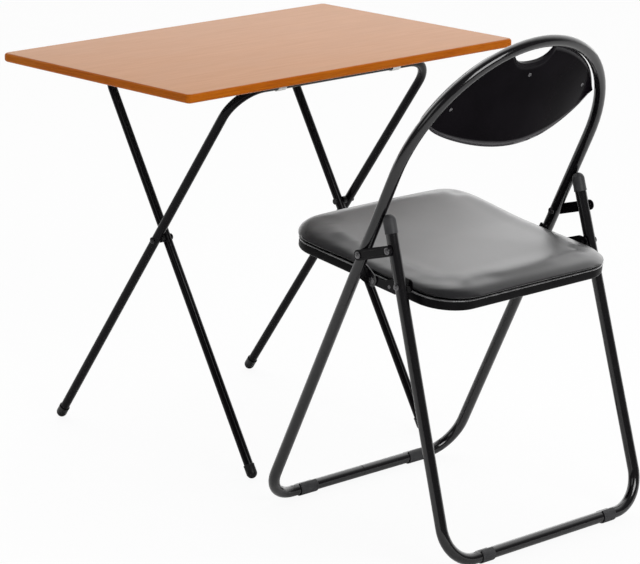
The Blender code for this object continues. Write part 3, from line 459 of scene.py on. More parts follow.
# %% Board and edging
def select_where(kind, parts, wanted):
    """Selects the edges or faces that pass a test. Works from edit mode and goes back to it."""
    bpy.ops.mesh.select_mode(type=kind)
    bpy.ops.mesh.select_all(action="DESELECT")
    to_mode("OBJECT")
    for part in parts:
        part.select = wanted(part)
    to_mode("EDIT")


def select_edges(piece, wanted):
    """The test gets the edge's two ends."""
    points = piece.data.vertices
    select_where("EDGE", piece.data.edges, lambda edge: wanted(*(points[end].co for end in edge.vertices)))


def select_faces(piece, wanted):
    select_where("FACE", piece.data.polygons, wanted)


def upright(one, two):
    return abs(one.z - two.z) > 1e-4


def level(one, two):
    return abs(one.z - two.z) < 1e-6


def round_edges(piece, wanted, radius, segments):
    select_edges(piece, wanted)
    bpy.ops.mesh.bevel(offset=radius, offset_type="OFFSET", segments=segments, affect="EDGES")


def new_box(size, middle=(0, 0, 0)):
    """A box to edit."""
    start_fresh()
    bpy.ops.mesh.primitive_cube_add(size=1, enter_editmode=True, location=middle, scale=size)
    return bpy.context.object


def slab(width, depth, thickness, corner):
    """A plate about its own middle with rounded upright corners."""
    piece = new_box((width, depth, thickness))
    round_edges(piece, upright, corner, 14)
    return piece


def shape_with(piece, kind, **settings):
    """Adds a modifier, sets it and applies it at once."""
    start_fresh(piece)
    modifier = piece.modifiers.new(kind, kind)
    for setting, value in settings.items():
        setattr(modifier, setting, value)
    bpy.ops.object.modifier_apply(modifier=kind)


def cut_out(piece, cutter):
    """Takes the cutter's form out of a piece, and removes the cutter."""
    shape_with(piece, "BOOLEAN", operation="DIFFERENCE", object=cutter)
    bpy.data.objects.remove(cutter, do_unlink=True)


TOP_HEIGHT, BOARD = 0.7, 0.0155
TOP_WIDTH, TOP_DEPTH, STRIP = 0.750, 0.500, 0.003
board_place = Matrix.Translation((0, DESK_Y, TOP_HEIGHT - BOARD / 2))
inside = 2 * (STRIP + GAP)
round_edges(slab(TOP_WIDTH - inside, TOP_DEPTH - inside, BOARD, 0.0067), level, 0.0006, 3)
fit(settle(board_place), "laminated_board", beech, "desk_top", "desk_top_board")

strip = slab(TOP_WIDTH, TOP_DEPTH, BOARD, 0.010)
round_edges(strip, level, 0.0050, 8)
cut_out(strip, slab(TOP_WIDTH - 2 * STRIP, TOP_DEPTH - 2 * STRIP, BOARD * 2, 0.007))
to_mode("EDIT")
fit(settle(board_place), "edging_strip", edging, "desk_top", "desk_top_edging")

# %% [markdown]
# ## Straps and hooks below the top
# Bright saddles hold the outer frame's bar and let it turn. Behind the inner frame's bar sit two open
# plastic hooks, which let the bar out when the desk is folded. Both are bent strip: their section is drawn,
# pulled to one width, and the corners of the flanges are rounded.

# %% Straps and hooks
STRAP_PLACE, STRAP_WIDTH = 0.132, 0.018


def arc(radius, begin, end, steps):
    return [(radius * math.cos(begin + (end - begin) * step / steps),
             radius * math.sin(begin + (end - begin) * step / steps)) for step in range(steps + 1)]


def bent_strip(section, flange_ends, rounding):
    """A closed section (y, z) pulled along x, with its upright corners at the flange ends rounded."""
    draw_line([(-STRAP_WIDTH / 2, y, z) for y, z in section + section[:1]])
    weld()
    bpy.ops.mesh.edge_face_add()
    bpy.ops.mesh.extrude_region_move(TRANSFORM_OT_translate={"value": (STRAP_WIDTH, 0, 0)})
    face_outwards()
    to_mode("OBJECT")
    bpy.ops.object.transform_apply(location=True, rotation=False, scale=False)
    to_mode("EDIT")
    round_edges(bpy.context.object, lambda one, two: upright(one, two) and abs(one.y - two.y) < 1e-6
                and any(abs(one.y - end) < 1e-5 for end in flange_ends), rounding, 5)


STRAP_SHEET, HOOK_SHEET = 0.0014, 0.003
strap_in, strap_out = bore, bore + STRAP_SHEET
strap_end, strap_low = strap_out + 0.013, LEG_RADIUS - STRAP_SHEET
strap_section = ([(-strap_end, LEG_RADIUS), (-strap_in, LEG_RADIUS)] + arc(strap_in, -math.pi, 0, 20)
                 + [(strap_in, LEG_RADIUS), (strap_end, LEG_RADIUS), (strap_end, strap_low),
                    (strap_out, strap_low)]
                 + arc(strap_out, 0, -math.pi, 20) + [(-strap_out, strap_low), (-strap_end, strap_low)])
hook_out = bore + HOOK_SHEET
hook_end, hook_low, hook_open = hook_out + 0.018, LEG_RADIUS - HOOK_SHEET, math.radians(-18)
hook_section = (arc(bore, hook_open, math.asin(LEG_RADIUS / bore), 14)
                + [(hook_end, LEG_RADIUS), (hook_end, hook_low), (hook_out, hook_low)]
                + arc(hook_out, 0, hook_open, 5))
for side, hand in HANDS:
    for word, section, ends, corner, bar_y, finish in (
            ("strap", strap_section, (-strap_end, strap_end), 0.0045, OUTER_BAR_Y, zinc),
            ("hook", hook_section, (hook_end,), 0.0035, INNER_BAR_Y, black_plastic)):
        bent_strip(section, ends, corner)
        fit(settle(Matrix.Translation((side * STRAP_PLACE, bar_y, BAR_HEIGHT))), f"bar_{word}_{hand}",
            finish, "desk_top", f"desk_{word}_{hand}")

# %% [markdown]
# ## Screws with a cross recess
# A screw head is turned, then two boxes are cut out of its crown, which leaves a cross recess with clean
# walls that ends inside the head.

# %% Screws
HEAD_RADIUS, HEAD_HEIGHT, SHANK_RADIUS = 0.0036, 0.0014, 0.0016


def place_screw(name, place, finish, body, node, shank=0.010):
    """A round-headed screw about Z, its head above the face at height 0."""
    turn_round(quarter(HEAD_RADIUS, HEAD_HEIGHT * 0.25, HEAD_HEIGHT) + [
        (HEAD_RADIUS, 0), (SHANK_RADIUS, 0), (SHANK_RADIUS, -shank), (0, -shank)], 24)
    screw = bpy.context.object
    for turn in (0, math.pi / 2):
        start_fresh()
        bpy.ops.mesh.primitive_cube_add(size=1, location=(0, 0, HEAD_HEIGHT), rotation=(0, 0, turn + 0.4),
                                        scale=(HEAD_RADIUS * 1.15, HEAD_RADIUS * 0.24, HEAD_HEIGHT * 0.9))
        cut_out(screw, bpy.context.object)
    to_mode("EDIT")
    fit(settle(place), name, finish, body, node)


down, under_board = (0, 0, -1), TOP_HEIGHT - BOARD - 2 * GAP
for side, hand in HANDS:
    for end, offset in (("front", -(strap_out + 0.0065)), ("rear", strap_out + 0.0065)):
        spot = (side * STRAP_PLACE, OUTER_BAR_Y + offset, under_board - STRAP_SHEET)
        place_screw(f"strap_screw_{hand}_{end}", facing(spot, down), zinc, "desk_top",
                    f"desk_strap_screw_{hand}_{end}")
    spot = (side * STRAP_PLACE, INNER_BAR_Y + hook_out + 0.009, under_board - HOOK_SHEET)
    place_screw(f"hook_screw_{hand}", facing(spot, down), zinc, "desk_top", f"desk_hook_screw_{hand}")

# %% [markdown]
# ## The chair's loop
# One tube makes the floor bar, both front legs and the arch of the back. It is bent in a single plane. It
# starts and ends in the middle of the floor bar, where the joint shows as a fine groove.

# %% Loop tube
GLIDE_RADIUS = 0.0115
TUBE, HALF, STRAIGHT, FLOOR_BEND = 0.0095, 0.219, 0.6805, 0.060
loop_slope = math.pi / 2 + math.radians(26.9)
loop_place = tilted(CHAIR + Vector((0, 0, GLIDE_RADIUS)), loop_slope)
run, rise = HALF - FLOOR_BEND, STRAIGHT - FLOOR_BEND
lip = 0.0007
bend_tube(TUBE, (0, 0), (1, 0), [lip, run - lip, (90, FLOOR_BEND), rise, (180, HALF), rise,
                                 (90, FLOOR_BEND), run - lip, lip], closed=True)
loop = bpy.context.object
select_edges(loop, lambda one, two: abs(one.z) < 1e-6 and abs(two.z) < 1e-6
             and max(one.length, two.length) < 0.0105)
bpy.ops.transform.resize(value=(1, 0.93, 0.93), center_override=(0, 0, 0))
fit(settle(loop_place), "loop_tube", paint, "chair_loop", "chair_loop_frame")

# %% [markdown]
# ## The chair's rear legs
# The rear frame is a U too, but its legs draw in a little towards the top, so that their caps lie against
# the loop. Its bends turn a bit more than a right angle for that.

# %% Rear legs
REAR_FLOOR, REAR_TOP = 0.2244, 0.2150
up = Vector((math.cos(loop_slope), math.sin(loop_slope)))
behind = Vector((-math.sin(loop_slope), math.cos(loop_slope)))


def on_loop(height, setback=0.0):
    point = Vector((0, GLIDE_RADIUS)) + up * height + behind * setback
    return CHAIR + Vector((0, point.x, point.y))


rear_top = on_loop(0.605, math.sqrt(0.0203 ** 2 - 0.004 ** 2))
rear_bar = CHAIR + Vector((0, -0.4379, GLIDE_RADIUS))
rear_run = rear_top - rear_bar
rear_length, rear_slope = rear_run.length, math.atan2(rear_run.z, rear_run.y)
rear_place = tilted(rear_bar, rear_slope)
draw_in = math.degrees(math.atan2(REAR_FLOOR - REAR_TOP, rear_length))
tangent = FLOOR_BEND * math.tan(math.radians(90 + draw_in) / 2)
side = math.hypot(rear_length, REAR_FLOOR - REAR_TOP) - tangent
turned = (90 + draw_in, FLOOR_BEND)
bend_tube(TUBE, (-REAR_TOP, rear_length), (REAR_TOP - REAR_FLOOR, -rear_length),
          [side, turned, 2 * (REAR_FLOOR - tangent), turned, side])
fit(settle(rear_place), "rear_leg_tube", paint, "chair_rear_legs", "chair_rear_frame")
print("rear legs", round(rear_length, 4), "long, drawn in by", round(draw_in, 2), "degrees")

# %% [markdown]
# ## Caps of the rear legs
# A moulded plug closes each rear leg and rests against the loop, where it stops the chair from opening
# further. It has a blunt round crown and a thin lip round its mouth.

# %% Rear caps
cap_bore = TUBE + GAP
cap_section = quarter(0.0105, 0, 0.0105, 8) + [(0.0105, -0.0180), (0.01075, -0.0186), (0.01075, -0.0202),
              (0.0103, -0.0205), (cap_bore, -0.0205), (cap_bore, GAP), (0, GAP)]
for side, hand in HANDS:
    turn_round(cap_section)
    leg = Vector((side * (REAR_TOP - REAR_FLOOR), rear_run.y, rear_run.z))
    fit(settle(facing(rear_top + Vector((side * REAR_TOP, 0, 0)), leg)), f"rear_leg_cap_{hand}", grey_plastic,
        "chair_rear_legs", f"chair_rear_cap_{hand}")

# %% [markdown]
# ## Glides
# Under each floor bar sit two glides, clips of plastic that snap over the tube from below. The wall's
# section is drawn and spun most of the way round the tube, with a gap on top.

# %% Glides
def snap_clip(length, open_degrees, middle_degrees):
    """A clip about the X axis, open round the given direction, which 0 puts on +Y and 90 on top."""
    half, wall_in, wall_out = length / 2, cap_bore, GLIDE_RADIUS
    start = math.radians(middle_degrees + open_degrees / 2)
    section = [(-half, wall_in), (half, wall_in), (half, wall_out - 0.0006), (half - 0.0006, wall_out),
               (-half + 0.0006, wall_out), (-half, wall_out - 0.0006), (-half, wall_in)]
    draw_line([(x, radius * math.cos(start), radius * math.sin(start)) for x, radius in section])
    weld()
    bpy.ops.mesh.edge_face_add()
    bpy.ops.mesh.spin(steps=30, angle=-math.radians(360 - open_degrees), center=(0, 0, 0), axis=(1, 0, 0))
    weld()


front_bar = CHAIR + Vector((0, 0, GLIDE_RADIUS))
for end, place_x, length, body, bar in (("front", 0.127, 0.038, "chair_loop", front_bar),
                                        ("rear", 0.141, 0.027, "chair_rear_legs", rear_bar)):
    for side, hand in HANDS:
        snap_clip(length, 70, 70)
        fit(settle(Matrix.Translation(bar + Vector((side * place_x, 0, 0)))), f"{end}_glide_{hand}",
            grey_plastic, body, f"chair_{end}_glide_{hand}")

# %% [markdown]
# ## Links
# A flat link outside each pair of tubes ties the loop to the rear leg and sets how far the chair opens. It
# is a bar with its ends rounded off, pressed shallow along its middle: its outer face is inset and pushed in.

# %% Links
LINK_RIVET_DOWN, SEAT_RIVET_DOWN = 0.046, 0.104
link_pivot, link_rear = on_loop(0.524), rear_top - rear_run.normalized() * LINK_RIVET_DOWN
reach = link_rear - link_pivot
LINK_SHEET = 0.003
LINK_X = HALF + TUBE + GAP + LINK_SHEET / 2


def pressed_link(length, radius, thickness):
    """A bar from the origin along +X, flat in XY, its outer face on +Z."""
    piece = new_box((length + 2 * radius, 2 * radius, thickness), (length / 2, 0, 0))
    round_edges(piece, upright, radius * 0.96, 10)
    round_edges(piece, level, 0.0005, 2)
    select_faces(piece, lambda face: face.normal.z > 0.999 and face.area > 1e-4)
    bpy.ops.mesh.inset(thickness=0.0030)
    bpy.ops.mesh.inset(thickness=0.0008, depth=-0.0007)


for side, hand in HANDS:
    pressed_link(reach.length, 0.0088, LINK_SHEET)
    out = Vector((side, 0, 0))
    along = reach.normalized()
    axes = Matrix((along, out.cross(along), out)).transposed().to_4x4()
    fit(settle(Matrix.Translation(link_pivot + out * LINK_X) @ axes), f"side_link_{hand}", desk_paint,
        f"chair_link_{hand}", f"chair_link_{hand}")

# %% [markdown]
# ## Rivets
# Every pivot of the chair is a blackened rivet with a low round head. The heads seen from outside have a
# small dimple, which the riveting tool leaves.

# %% Rivets
HEAD, SHANK, CROWN, TAIL = 0.0058, 0.003, 0.0019, 0.0009
SEAT_SIDE, PLATE = 0.1985, 0.002


def dimpled(low):
    """A rivet head's section with a dimple in its crown, down to where its shank begins."""
    crown = [(0, low + CROWN * 0.80), (HEAD * 0.20, low + CROWN * 0.84), (HEAD * 0.34, low + CROWN)]
    side = [(r, z) for r, z in quarter(HEAD, low + CROWN * 0.2, low + CROWN) if r > HEAD * 0.40]
    return crown + side + [(HEAD, low), (SHANK, low)]


seat_pivot = on_loop(0.4845, 0.022)
seat_rear = rear_top - rear_run.normalized() * SEAT_RIVET_DOWN


def rear_half(down):
    return REAR_TOP + (REAR_FLOOR - REAR_TOP) * down / rear_length


bracket_in = SEAT_SIDE + GAP
plate_out = bracket_in + 2 * (PLATE + GAP)
link_out, link_in = LINK_X + LINK_SHEET / 2 + GAP, LINK_X - LINK_SHEET / 2 - GAP
rear_out = rear_half(SEAT_RIVET_DOWN) + TUBE + GAP
tube_in, shoulder_end = HALF - TUBE - GAP, rear_half(LINK_RIVET_DOWN) + TUBE + 0.001
seat_front = quarter(HEAD, plate_out + 0.0002, plate_out + TAIL) + [
    (HEAD, plate_out), (SHANK, plate_out), (SHANK, bracket_in), (0, bracket_in)]
seat_back = dimpled(rear_out) + [(SHANK, bracket_in), (0, bracket_in)]
link_front = dimpled(link_out) + [(SHANK, tube_in), (HEAD, tube_in), (HEAD, tube_in - TAIL),
                                  (0, tube_in - TAIL)]
link_back = dimpled(link_out) + [(SHANK, link_in), (0.0052, link_in), (0.0052, shoulder_end),
                                 (0, shoulder_end)]
for side, hand in HANDS:
    for word, section, spot, body in (("seat_front", seat_front, seat_pivot, "chair_loop"),
                                      ("seat_rear", seat_back, seat_rear, "chair_seat"),
                                      ("link_front", link_front, link_pivot, "chair_loop"),
                                      ("link_rear", link_back, link_rear, f"chair_link_{hand}")):
        turn_round(section, 28)
        fit(settle(facing(spot, (side, 0, 0))), f"{word}_rivet_{hand}", blackened, body,
            f"chair_{word}_rivet_{hand}")

# %% [markdown]
# ## Carried-over brackets
# The plates on the loop and the brackets on the seat are flat sheet with the right outline already, so the
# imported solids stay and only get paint. So do the small countersunk screws.

# %% Paint what stays
def dress(node, finish):
    """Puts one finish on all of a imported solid."""
    solid = bpy.data.objects[node]
    if not solid.material_slots:
        solid.data.materials.append(finish.material)
    for slot in solid.material_slots:
        slot.material = finish.material


for side, hand in HANDS:
    dress(f"chair_loop_plate_{hand}", paint)
    dress(f"chair_seat_bracket_{hand}", desk_paint)
    for end in ("front", "rear"):
        dress(f"chair_bracket_screw_{hand}_{end}", blackened)
print("painted the plates, brackets and their screws")

# %% [markdown]
# ## Vinyl and the backrest's shell
# The cushions are covered in soft vinyl with a fine leather grain, nearly black under a clear coat. At a low
# angle the coat shows the pale room, so the seat looks grey and its sides black. The shell behind the
# backrest is polished black plastic; the grey line along its lip is a painted highlight, a paler colour with
# more coat.

# %% Vinyl and shell finishes
vinyl = Finish("black_grained_vinyl", "black_vinyl", IOR=1.18, Coat_IOR=1.7, Coat_Roughness=0.38)
place = vinyl.on_piece()
grain = vinyl.cells(place, 520, "SMOOTH_F1")
creases = vinyl.cells(vinyl.on_piece((1, 1.3, 1), (0, 0, 0.5)), 260, "DISTANCE_TO_EDGE").steps(0.0, 0.16)
soft = vinyl.noise(place, 11, 4, 0.55)
low_angle = vinyl.add("ShaderNodeLayerWeight", {}, {"Blend": 0.5}, "Facing").steps(0.26, 0.56)
vinyl.wear(Base_Color=vinyl.mix(soft.steps(0.35, 0.7), (0.016, 0.0157, 0.0167), (0.023, 0.0226, 0.024)),
           Roughness=0.36 + soft * 0.08 + (1 - creases) * 0.05,
           Coat_Weight=low_angle, Normal=vinyl.bump(creases * 0.7 + grain * 0.3, 0.00009))

gloss = Finish("polished_black_shell", "gloss_black_shell", IOR=1.08)
flow = gloss.noise(gloss.on_piece(), 14, 3)
hairlines = gloss.noise(gloss.on_piece((1, 1, 5), (0.3, 0.2, 0)), 420, 3, 0.7).steps(0.62, 0.75)
# Painted highlight: along the lip the colour turns paler grey and the coat stronger, for the light its
# rounded edge catches.
painted_lip_highlight = gloss.add("ShaderNodeAttribute", {"attribute_name": "painted_lip_highlight"}, {}, "Fac")
black = gloss.mix(flow.steps(0.3, 0.7), (0.0025, 0.0018, 0.0028), (0.0045, 0.0035, 0.0050))
gloss.wear(Base_Color=gloss.mix(painted_lip_highlight, black, (0.060, 0.057, 0.062)), Coat_Weight=painted_lip_highlight * 0.8,
           Roughness=0.12 + flow * 0.05 + hairlines * 0.08 + painted_lip_highlight * 0.15, Normal=gloss.bump(flow, 0.0002))
print(vinyl.material.name, gloss.material.name)

# %% [markdown]
# ## The seat's base
# Below the cushion lies a moulded tray with the same outline. Its lower edge is well rounded and catches
# the light from the floor, and its underside is hollow.

# %% Seat base
SEAT_FRONT, SEAT_LENGTH = 0.2147, 0.378
seat_place = tilted(seat_pivot, math.radians(7.1))
BASE_LOW, BASE_HIGH = -0.0084, 0.0081
FRONT_CORNER, REAR_CORNER = 0.058, 0.065
seat_middle = SEAT_FRONT - SEAT_LENGTH / 2


def seat_slab(inset, low, high):
    """A plate with the seat's outline, drawn in by an inset: wide corners in front, closer ones behind."""
    half_width, half_length = SEAT_SIDE - inset, SEAT_LENGTH / 2 - inset
    piece = new_box((2 * half_width, 2 * half_length, high - low), (0, seat_middle, (low + high) / 2))
    for end, corner in ((half_length, FRONT_CORNER), (-half_length, REAR_CORNER)):
        round_edges(piece, lambda one, two: upright(one, two) and abs(abs(one.x) - half_width) < 1e-5
                    and abs(one.y - end) < 1e-5, corner - inset, 18)
    return piece


base = seat_slab(0, BASE_LOW, BASE_HIGH)
half_base = (BASE_HIGH - BASE_LOW) / 2
round_edges(base, lambda one, two: max(one.z, two.z) < -half_base * 0.9, 0.0045, 6)
round_edges(base, lambda one, two: min(one.z, two.z) > half_base * 0.9, 0.0012, 3)
select_faces(base, lambda face: face.normal.z < -0.999 and face.area > 0.05)
bpy.ops.mesh.inset(thickness=0.016)
bpy.ops.mesh.inset(thickness=0.003, depth=-0.006)
fit(settle(seat_place), "seat_tray", tray_plastic, "chair_seat", "chair_seat_base")

# %% [markdown]
# ## The seat's cushion
# Foam under stretched vinyl swells until the cover holds it. So the solid's skin is drawn again in even
# small faces and blown up with cloth pressure while its underside stays put, and no point moves further than
# the cover would stretch. Then the seat gets its form: fuller in front, falling away to its sides, hollow in
# the middle and firm at its edge.

# %% Padding helper
SWELL_FRAMES = 20


def pad_from(node, voxel, swell, fixed, shrink):
    """A padded copy of a solid. fixed says which points lie on something and stay."""
    solid = bpy.data.objects[node]
    piece = bpy.data.objects.new(node + "_pad", solid.data.copy())
    bpy.context.scene.collection.objects.link(piece)
    piece.matrix_world = solid.matrix_world
    start_fresh(piece)
    bpy.ops.object.transform_apply(location=True, rotation=True, scale=True)
    to_mode("EDIT")
    select_everything()
    bpy.ops.mesh.remove_doubles(threshold=1e-6)
    bpy.ops.transform.shrink_fatten(value=-shrink)
    shape_with(piece, "REMESH", mode="VOXEL", voxel_size=voxel)
    shape_with(piece, "SMOOTH", factor=0.5, iterations=6)
    swell_up(piece, swell, fixed)
    shape_with(piece, "SMOOTH", factor=0.5, iterations=20)
    shape_with(piece, "SUBSURF", levels=1, render_levels=1)
    return piece


def swell_up(piece, swell, fixed):
    """Blows the cover up with cloth pressure. Points only move outwards, and no further than the cap."""
    before = [(point.co.copy(), point.normal.copy()) for point in piece.data.vertices]
    held = piece.vertex_groups.new(name="held")
    held.add([number for number, (point, normal) in enumerate(before) if fixed(point)], 1.0, "REPLACE")
    cloth = piece.modifiers.new("Cover", "CLOTH")
    cloth.settings.use_pressure = True
    cloth.settings.uniform_pressure_force = 4
    cloth.settings.effector_weights.gravity = 0
    cloth.settings.vertex_group_mass = "held"
    cloth.point_cache.frame_start, cloth.point_cache.frame_end = 1, SWELL_FRAMES
    for number in range(1, SWELL_FRAMES + 1):
        bpy.context.scene.frame_set(number)
    seen = piece.evaluated_get(bpy.context.evaluated_depsgraph_get())
    after = [point.co.copy() for point in seen.data.vertices]
    piece.modifiers.remove(cloth)
    furthest = 0
    for point, (old, normal), new in zip(piece.data.vertices, before, after):
        outwards = (new - old).dot(normal)
        furthest = max(furthest, outwards)
        point.co = old + normal * min(max(outwards, 0), swell)
    piece.data.update()
    bpy.context.scene.frame_set(1)
    print("the cover wanted to move", round(furthest * 1000, 1), "mm, held at", swell * 1000)


# %% Seat cushion
def eased(value, start, end):
    """From 0 at start to 1 at end, with soft ends."""
    share = min(1, max(0, (value - start) / (end - start)))
    return share * share * (3 - 2 * share)


def inset_of(x, y):
    """How far inside the seat's outline a place lies, measured from the seat's middle."""
    corner = FRONT_CORNER if y > 0 else REAR_CORNER
    past_x, past_y = abs(x) - (SEAT_SIDE - corner), abs(y) - (SEAT_LENGTH / 2 - corner)
    return corner - math.hypot(max(past_x, 0), max(past_y, 0)) - min(max(past_x, past_y), 0)


FRONT_RISE, SHOULDER_RISE, SIDE_FALL, SETTLED, HOLLOW = 0.012, 0.003, 0.003, 0.010, 0.0075
BULGE, BULGE_HEIGHT = 0.0055, 0.014
to_seat = seat_place.inverted()
cushion = pad_from("chair_seat_cushion", 0.0045, 0.0050,
                   lambda point: (to_seat @ point).z < BASE_HIGH + 0.0060, -0.0012)
for point in cushion.data.vertices:
    flat = to_seat @ point.co
    across, along = flat.x / SEAT_SIDE, (flat.y - seat_middle) / (SEAT_LENGTH / 2)
    inset, up = inset_of(flat.x, flat.y - seat_middle), flat.z - BASE_HIGH
    shoulder = eased(inset, 0, 0.010) * (1 - eased(inset, 0.012, 0.070))
    lift = (FRONT_RISE * eased(along, 0, 0.9) * max(0, 1 - across ** 10)
            + SHOULDER_RISE * shoulder - SIDE_FALL * across ** 2 - SETTLED
            - HOLLOW * max(0, 1 - across ** 2) * max(0, 1 - along ** 2))
    bulge = BULGE * (1 - eased(inset, 0.004, 0.030)) * max(0, 1 - (up / BULGE_HEIGHT - 1) ** 2)
    flat.x += bulge * across ** 5 * eased(along, 0.2, 0.6)
    flat.y += bulge * along ** 5
    flat.z += lift * eased(up, 0.002, 0.024)
    point.co = seat_place @ flat
shape_with(cushion, "SMOOTH", factor=0.5, iterations=40)
fit(cushion, "seat_cushion", vinyl, "chair_seat", "chair_seat_cushion", angle=60)

# %% [markdown]
# ## The backrest's pad
# The pad in front of the loop is thinner than the seat and covers the whole arch, but for the hand hole. It
# is swollen the same way, held where it lies on the shell.

# %% Backrest pad
to_loop = loop_place.inverted()
pad = pad_from("chair_backrest_pad", 0.0042, 0.0018, lambda point: (to_loop @ point).z > -0.0118, 0.0010)
fit(pad, "backrest_pad", vinyl, "chair_loop", "chair_backrest_pad", angle=60)

# %% [markdown]
# ## The backrest's shell
# Inside the arch sits a polished shell: flat and thin beside the tubes, and well behind them in the middle of
# its lower edge. A sloping lip runs along its border, and the grey line along it is a painted highlight. A
# grid is laid over the opening: each column runs from the curved lower edge up to the arch, or to the hand
# hole in the middle, so the grid's border is the shell's outline. Pulled forward and flattened, the sheet
# becomes a solid.

# %% Shell
SHELL_RADIUS, LIP = 0.2092, 0.0055
LOW, HAND_HOLE, HOLE_FLOOR = 0.0358, 0.045, 0.1765
RIM_REAR, DEEPEST, SHELL_FRONT = -0.0072, 0.0332, -0.0092


def shell_low(x):
    """How high the shell's lower edge lies at x."""
    return LOW + 0.053 * (x / HALF) ** 2 + 0.018 * (x / 0.190) ** 14


def shell_top(x):
    """How high the shell reaches at x: the arch, or the round notch of the hand hole."""
    arch = math.sqrt(max(0.0, SHELL_RADIUS ** 2 - x * x))
    share = abs(x) / HAND_HOLE
    if share >= 1:
        return arch
    brim = math.sqrt(SHELL_RADIUS ** 2 - HAND_HOLE ** 2)
    return min(arch, HOLE_FLOOR + (brim - HOLE_FLOOR) * (1 - math.sqrt(1 - share ** 2.4)))


def shell_rear(x, height):
    """How far behind the loop's middle the shell lies at a point of it."""
    across = 1 - (x / 0.180) ** 2
    across = (across + math.sqrt(across ** 2 + 0.02)) / 2
    up_share = min(1.0, max(0.0, (height - LOW) / (SHELL_RADIUS - LOW)))
    return RIM_REAR + DEEPEST * across * (1 - up_share) ** 0.9


# Where the lower edge meets the arch, found by halving.
inside, outside = 0.0, SHELL_RADIUS
for _ in range(40):
    half = (inside + outside) / 2
    if math.hypot(half, shell_low(half)) < SHELL_RADIUS:
        inside = half
    else:
        outside = half

COLUMNS, ROWS = 96, 30
SUNK, LIP_SUNK = 0.0011, (0.0030, 0.0021, 0.0002)
start_fresh()
bpy.ops.mesh.primitive_grid_add(x_subdivisions=COLUMNS, y_subdivisions=ROWS, size=2, enter_editmode=False)
shell = bpy.context.object
half = inside - 1e-4
painted_lip_highlight = shell.data.attributes.new("painted_lip_highlight", "FLOAT", "POINT")
for point in shell.data.vertices:
    column, row = (point.co.x + 1) / 2, round((point.co.y + 1) / 2 * ROWS)
    x = half * math.sin(math.pi * (column - 0.5))
    bottom, top = shell_low(x), shell_top(x)
    tall = max(1e-4, top - bottom)
    lip = min(LIP, tall * 0.22)
    edge = min(0.0006, lip * 0.15)
    marks = {0: 0, 1: edge, 2: lip - edge, 3: lip, ROWS - 3: tall - lip, ROWS - 2: tall - lip + edge,
             ROWS - 1: tall - edge, ROWS: tall}
    place_up = marks.get(row, lip + (tall - 2 * lip) * (row - 3) / (ROWS - 6))
    from_edge = min(row, ROWS - row)
    sunk = LIP_SUNK[from_edge] if from_edge < len(LIP_SUNK) else SUNK
    # Strength of the painted lip highlight: full on the lower lip, 0.6 on the arch's lip, faint round the
    # hand hole.
    brim = 0.6 if abs(x) > HAND_HOLE + 0.001 else 0.12
    painted_lip_highlight.data[point.index].value = 1.0 if row <= 3 else brim if row >= ROWS - 3 else 0.0
    point.co = (x, STRAIGHT + bottom + place_up, max(shell_rear(x, bottom + place_up) - sunk, -0.0086))
shell.data.update()
to_mode("EDIT")
select_everything()
bpy.ops.mesh.extrude_region_move(TRANSFORM_OT_translate={"value": (0, 0, -0.03)})
bpy.ops.transform.resize(value=(1, 1, 0), center_override=(0, 0, SHELL_FRONT))
face_outwards()
fit(settle(loop_place), "backrest_shell", gloss, "chair_loop", "chair_backrest_shell", angle=24)

# %% [markdown]
# ## Screws of the shell
# Three screws hold shell and pad together. Only their heads show.

# %% Shell screws
for hand, x, height in (("left", -0.1484, 0.1115), ("top", 0.0, 0.1575), ("right", 0.1484, 0.1115)):
    well = shell_rear(x, height) - SUNK - 0.0002
    spot = loop_place @ Matrix.Translation((x, STRAIGHT + height, well))
    place_screw(f"shell_screw_{hand}", spot, blackened, "chair_loop", f"chair_backrest_screw_{hand}",
                shank=0.007)

# %% [markdown]
# ## The piping
# Where the cushion meets the tray, the vinyl is turned over a thin cord, which shows as a bright line round
# the seat: partly the real gloss of its clear coat, partly a painted highlight, as the cord is coloured grey,
# much paler than the black vinyl. It is the tray's plate again, very thin, with its rims rounded off and its
# middle taken out.

# %% Seat piping
cord_vinyl = Finish("glossy_piping", "black_vinyl", IOR=1.6, Coat_Weight=1.0, Coat_Roughness=0.08)
stretch = cord_vinyl.noise(cord_vinyl.on_piece(), 60, 3)
# The cord's grey colour is a painted highlight on black vinyl.
painted_highlight_cord_grey = cord_vinyl.mix(stretch.steps(0.35, 0.7), (0.055, 0.054, 0.056), (0.12, 0.118, 0.12))
cord_vinyl.wear(Base_Color=painted_highlight_cord_grey, Roughness=0.22 + stretch * 0.12,
                Normal=cord_vinyl.bump(stretch, 0.00008))
cord = seat_slab(-0.0006, BASE_HIGH - 0.0011, BASE_HIGH + 0.0013)
round_edges(cord, level, 0.00115, 4)
select_faces(cord, lambda face: abs(face.normal.z) > 0.999 and face.area > 0.05)
bpy.ops.mesh.inset(thickness=0.002)
bpy.ops.mesh.delete(type="FACE")
bpy.ops.mesh.select_mode(type="EDGE")
bpy.ops.mesh.select_non_manifold()
bpy.ops.mesh.bridge_edge_loops()
face_outwards()
fit(settle(seat_place), "seat_piping", cord_vinyl, "chair_seat")

# %% [markdown]
# ## Floor and light
# The floor is plain and pale. For the camera it is lifted towards white, but it keeps the set's shadow. A
# big soft lamp stands at the camera's right, so the long side of the top is brighter than its end. A weaker
# one fills from the left, and one behind draws the thin highlights along the tubes. The room is bright
# behind the set and dark at the sides, so black gloss stays black and flat vinyl picks up the pale backdrop.

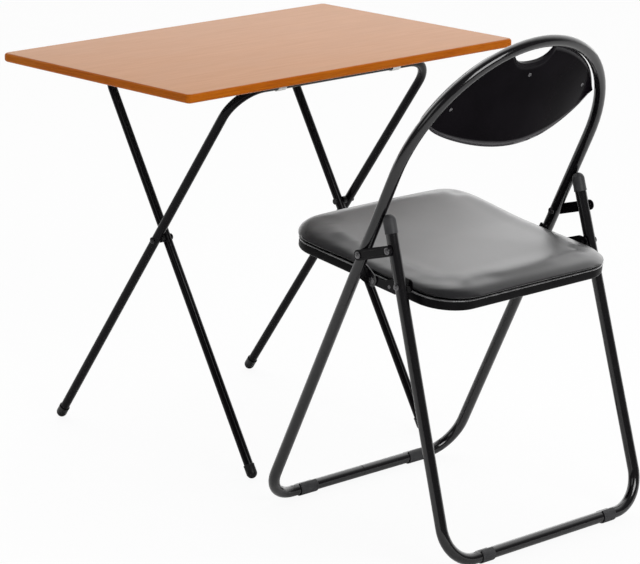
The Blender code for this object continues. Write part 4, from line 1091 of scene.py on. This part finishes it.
# %% Floor
start_fresh()
bpy.ops.mesh.primitive_plane_add(size=30, location=(0, 0, -0.0002))
floor = bpy.context.object
floor.name = "studio_floor"
paper = Finish("studio_paper", "floor", Base_Color=(0.86, 0.86, 0.86), Roughness=0.8)
glow = paper.add("ShaderNodeEmission", {}, {})
seen = paper.add("ShaderNodeLightPath", {}, {}, "Is Camera Ray")
lit = Flow(paper, paper.shader.outputs[0])
blend = paper.add("ShaderNodeMixShader", {}, {0: seen * 0.92, 1: lit, 2: glow})
paper.feed(paper.tree.nodes["Material Output"].inputs["Surface"], blend)
floor.data.materials.append(paper.material)
print("floor laid")


# %% Lamps and room
def lamp(name, place, target, size, watts):
    bpy.ops.object.light_add(type="AREA", location=place)
    light = bpy.context.object
    light.name = name
    light.data.shape, light.data.size, light.data.size_y = "RECTANGLE", *size
    light.data.energy = watts
    aim = Vector(target) - Vector(place)
    light.rotation_euler = aim.to_track_quat("-Z", "Y").to_euler()


lamp("key_softbox", (-0.4, -3.8, 2.6), (0, 0, 0.5), (2.2, 1.8), 90)
lamp("fill_softbox", (-3.6, -0.6, 2.4), (0, 0, 0.4), (1.6, 1.6), 11)
lamp("top_softbox", (0.8, 0.9, 3.4), (0, 0, 0), (2.4, 2.4), 12)

room = bpy.data.worlds.new("pale_room")
bpy.context.scene.world = room
room.use_nodes = True
sky = Net(room.node_tree)
direction = sky.add("ShaderNodeTexCoord", {}, {}, "Generated")
behind_set = sky.add("ShaderNodeVectorMath", {"operation": "DOT_PRODUCT"},
                     {0: direction, 1: (0.674, 0.739, 0.25)}, "Value")
brightness = sky.add("ShaderNodeMapRange", {"interpolation_type": "SMOOTHSTEP"}, {
    "Value": behind_set, "From Min": 0.10, "From Max": 0.75, "To Min": 0.14, "To Max": 1.8})
by_camera = sky.add("ShaderNodeLightPath", {}, {}, "Is Camera Ray")
background = sky.tree.nodes["Background"]
sky.feed(background.inputs["Color"], (1, 1, 1))
sky.feed(background.inputs["Strength"], sky.add("ShaderNodeMix", {}, {0: by_camera, 2: brightness, 3: 1.0}))
print("lit by three soft lamps and a pale room")
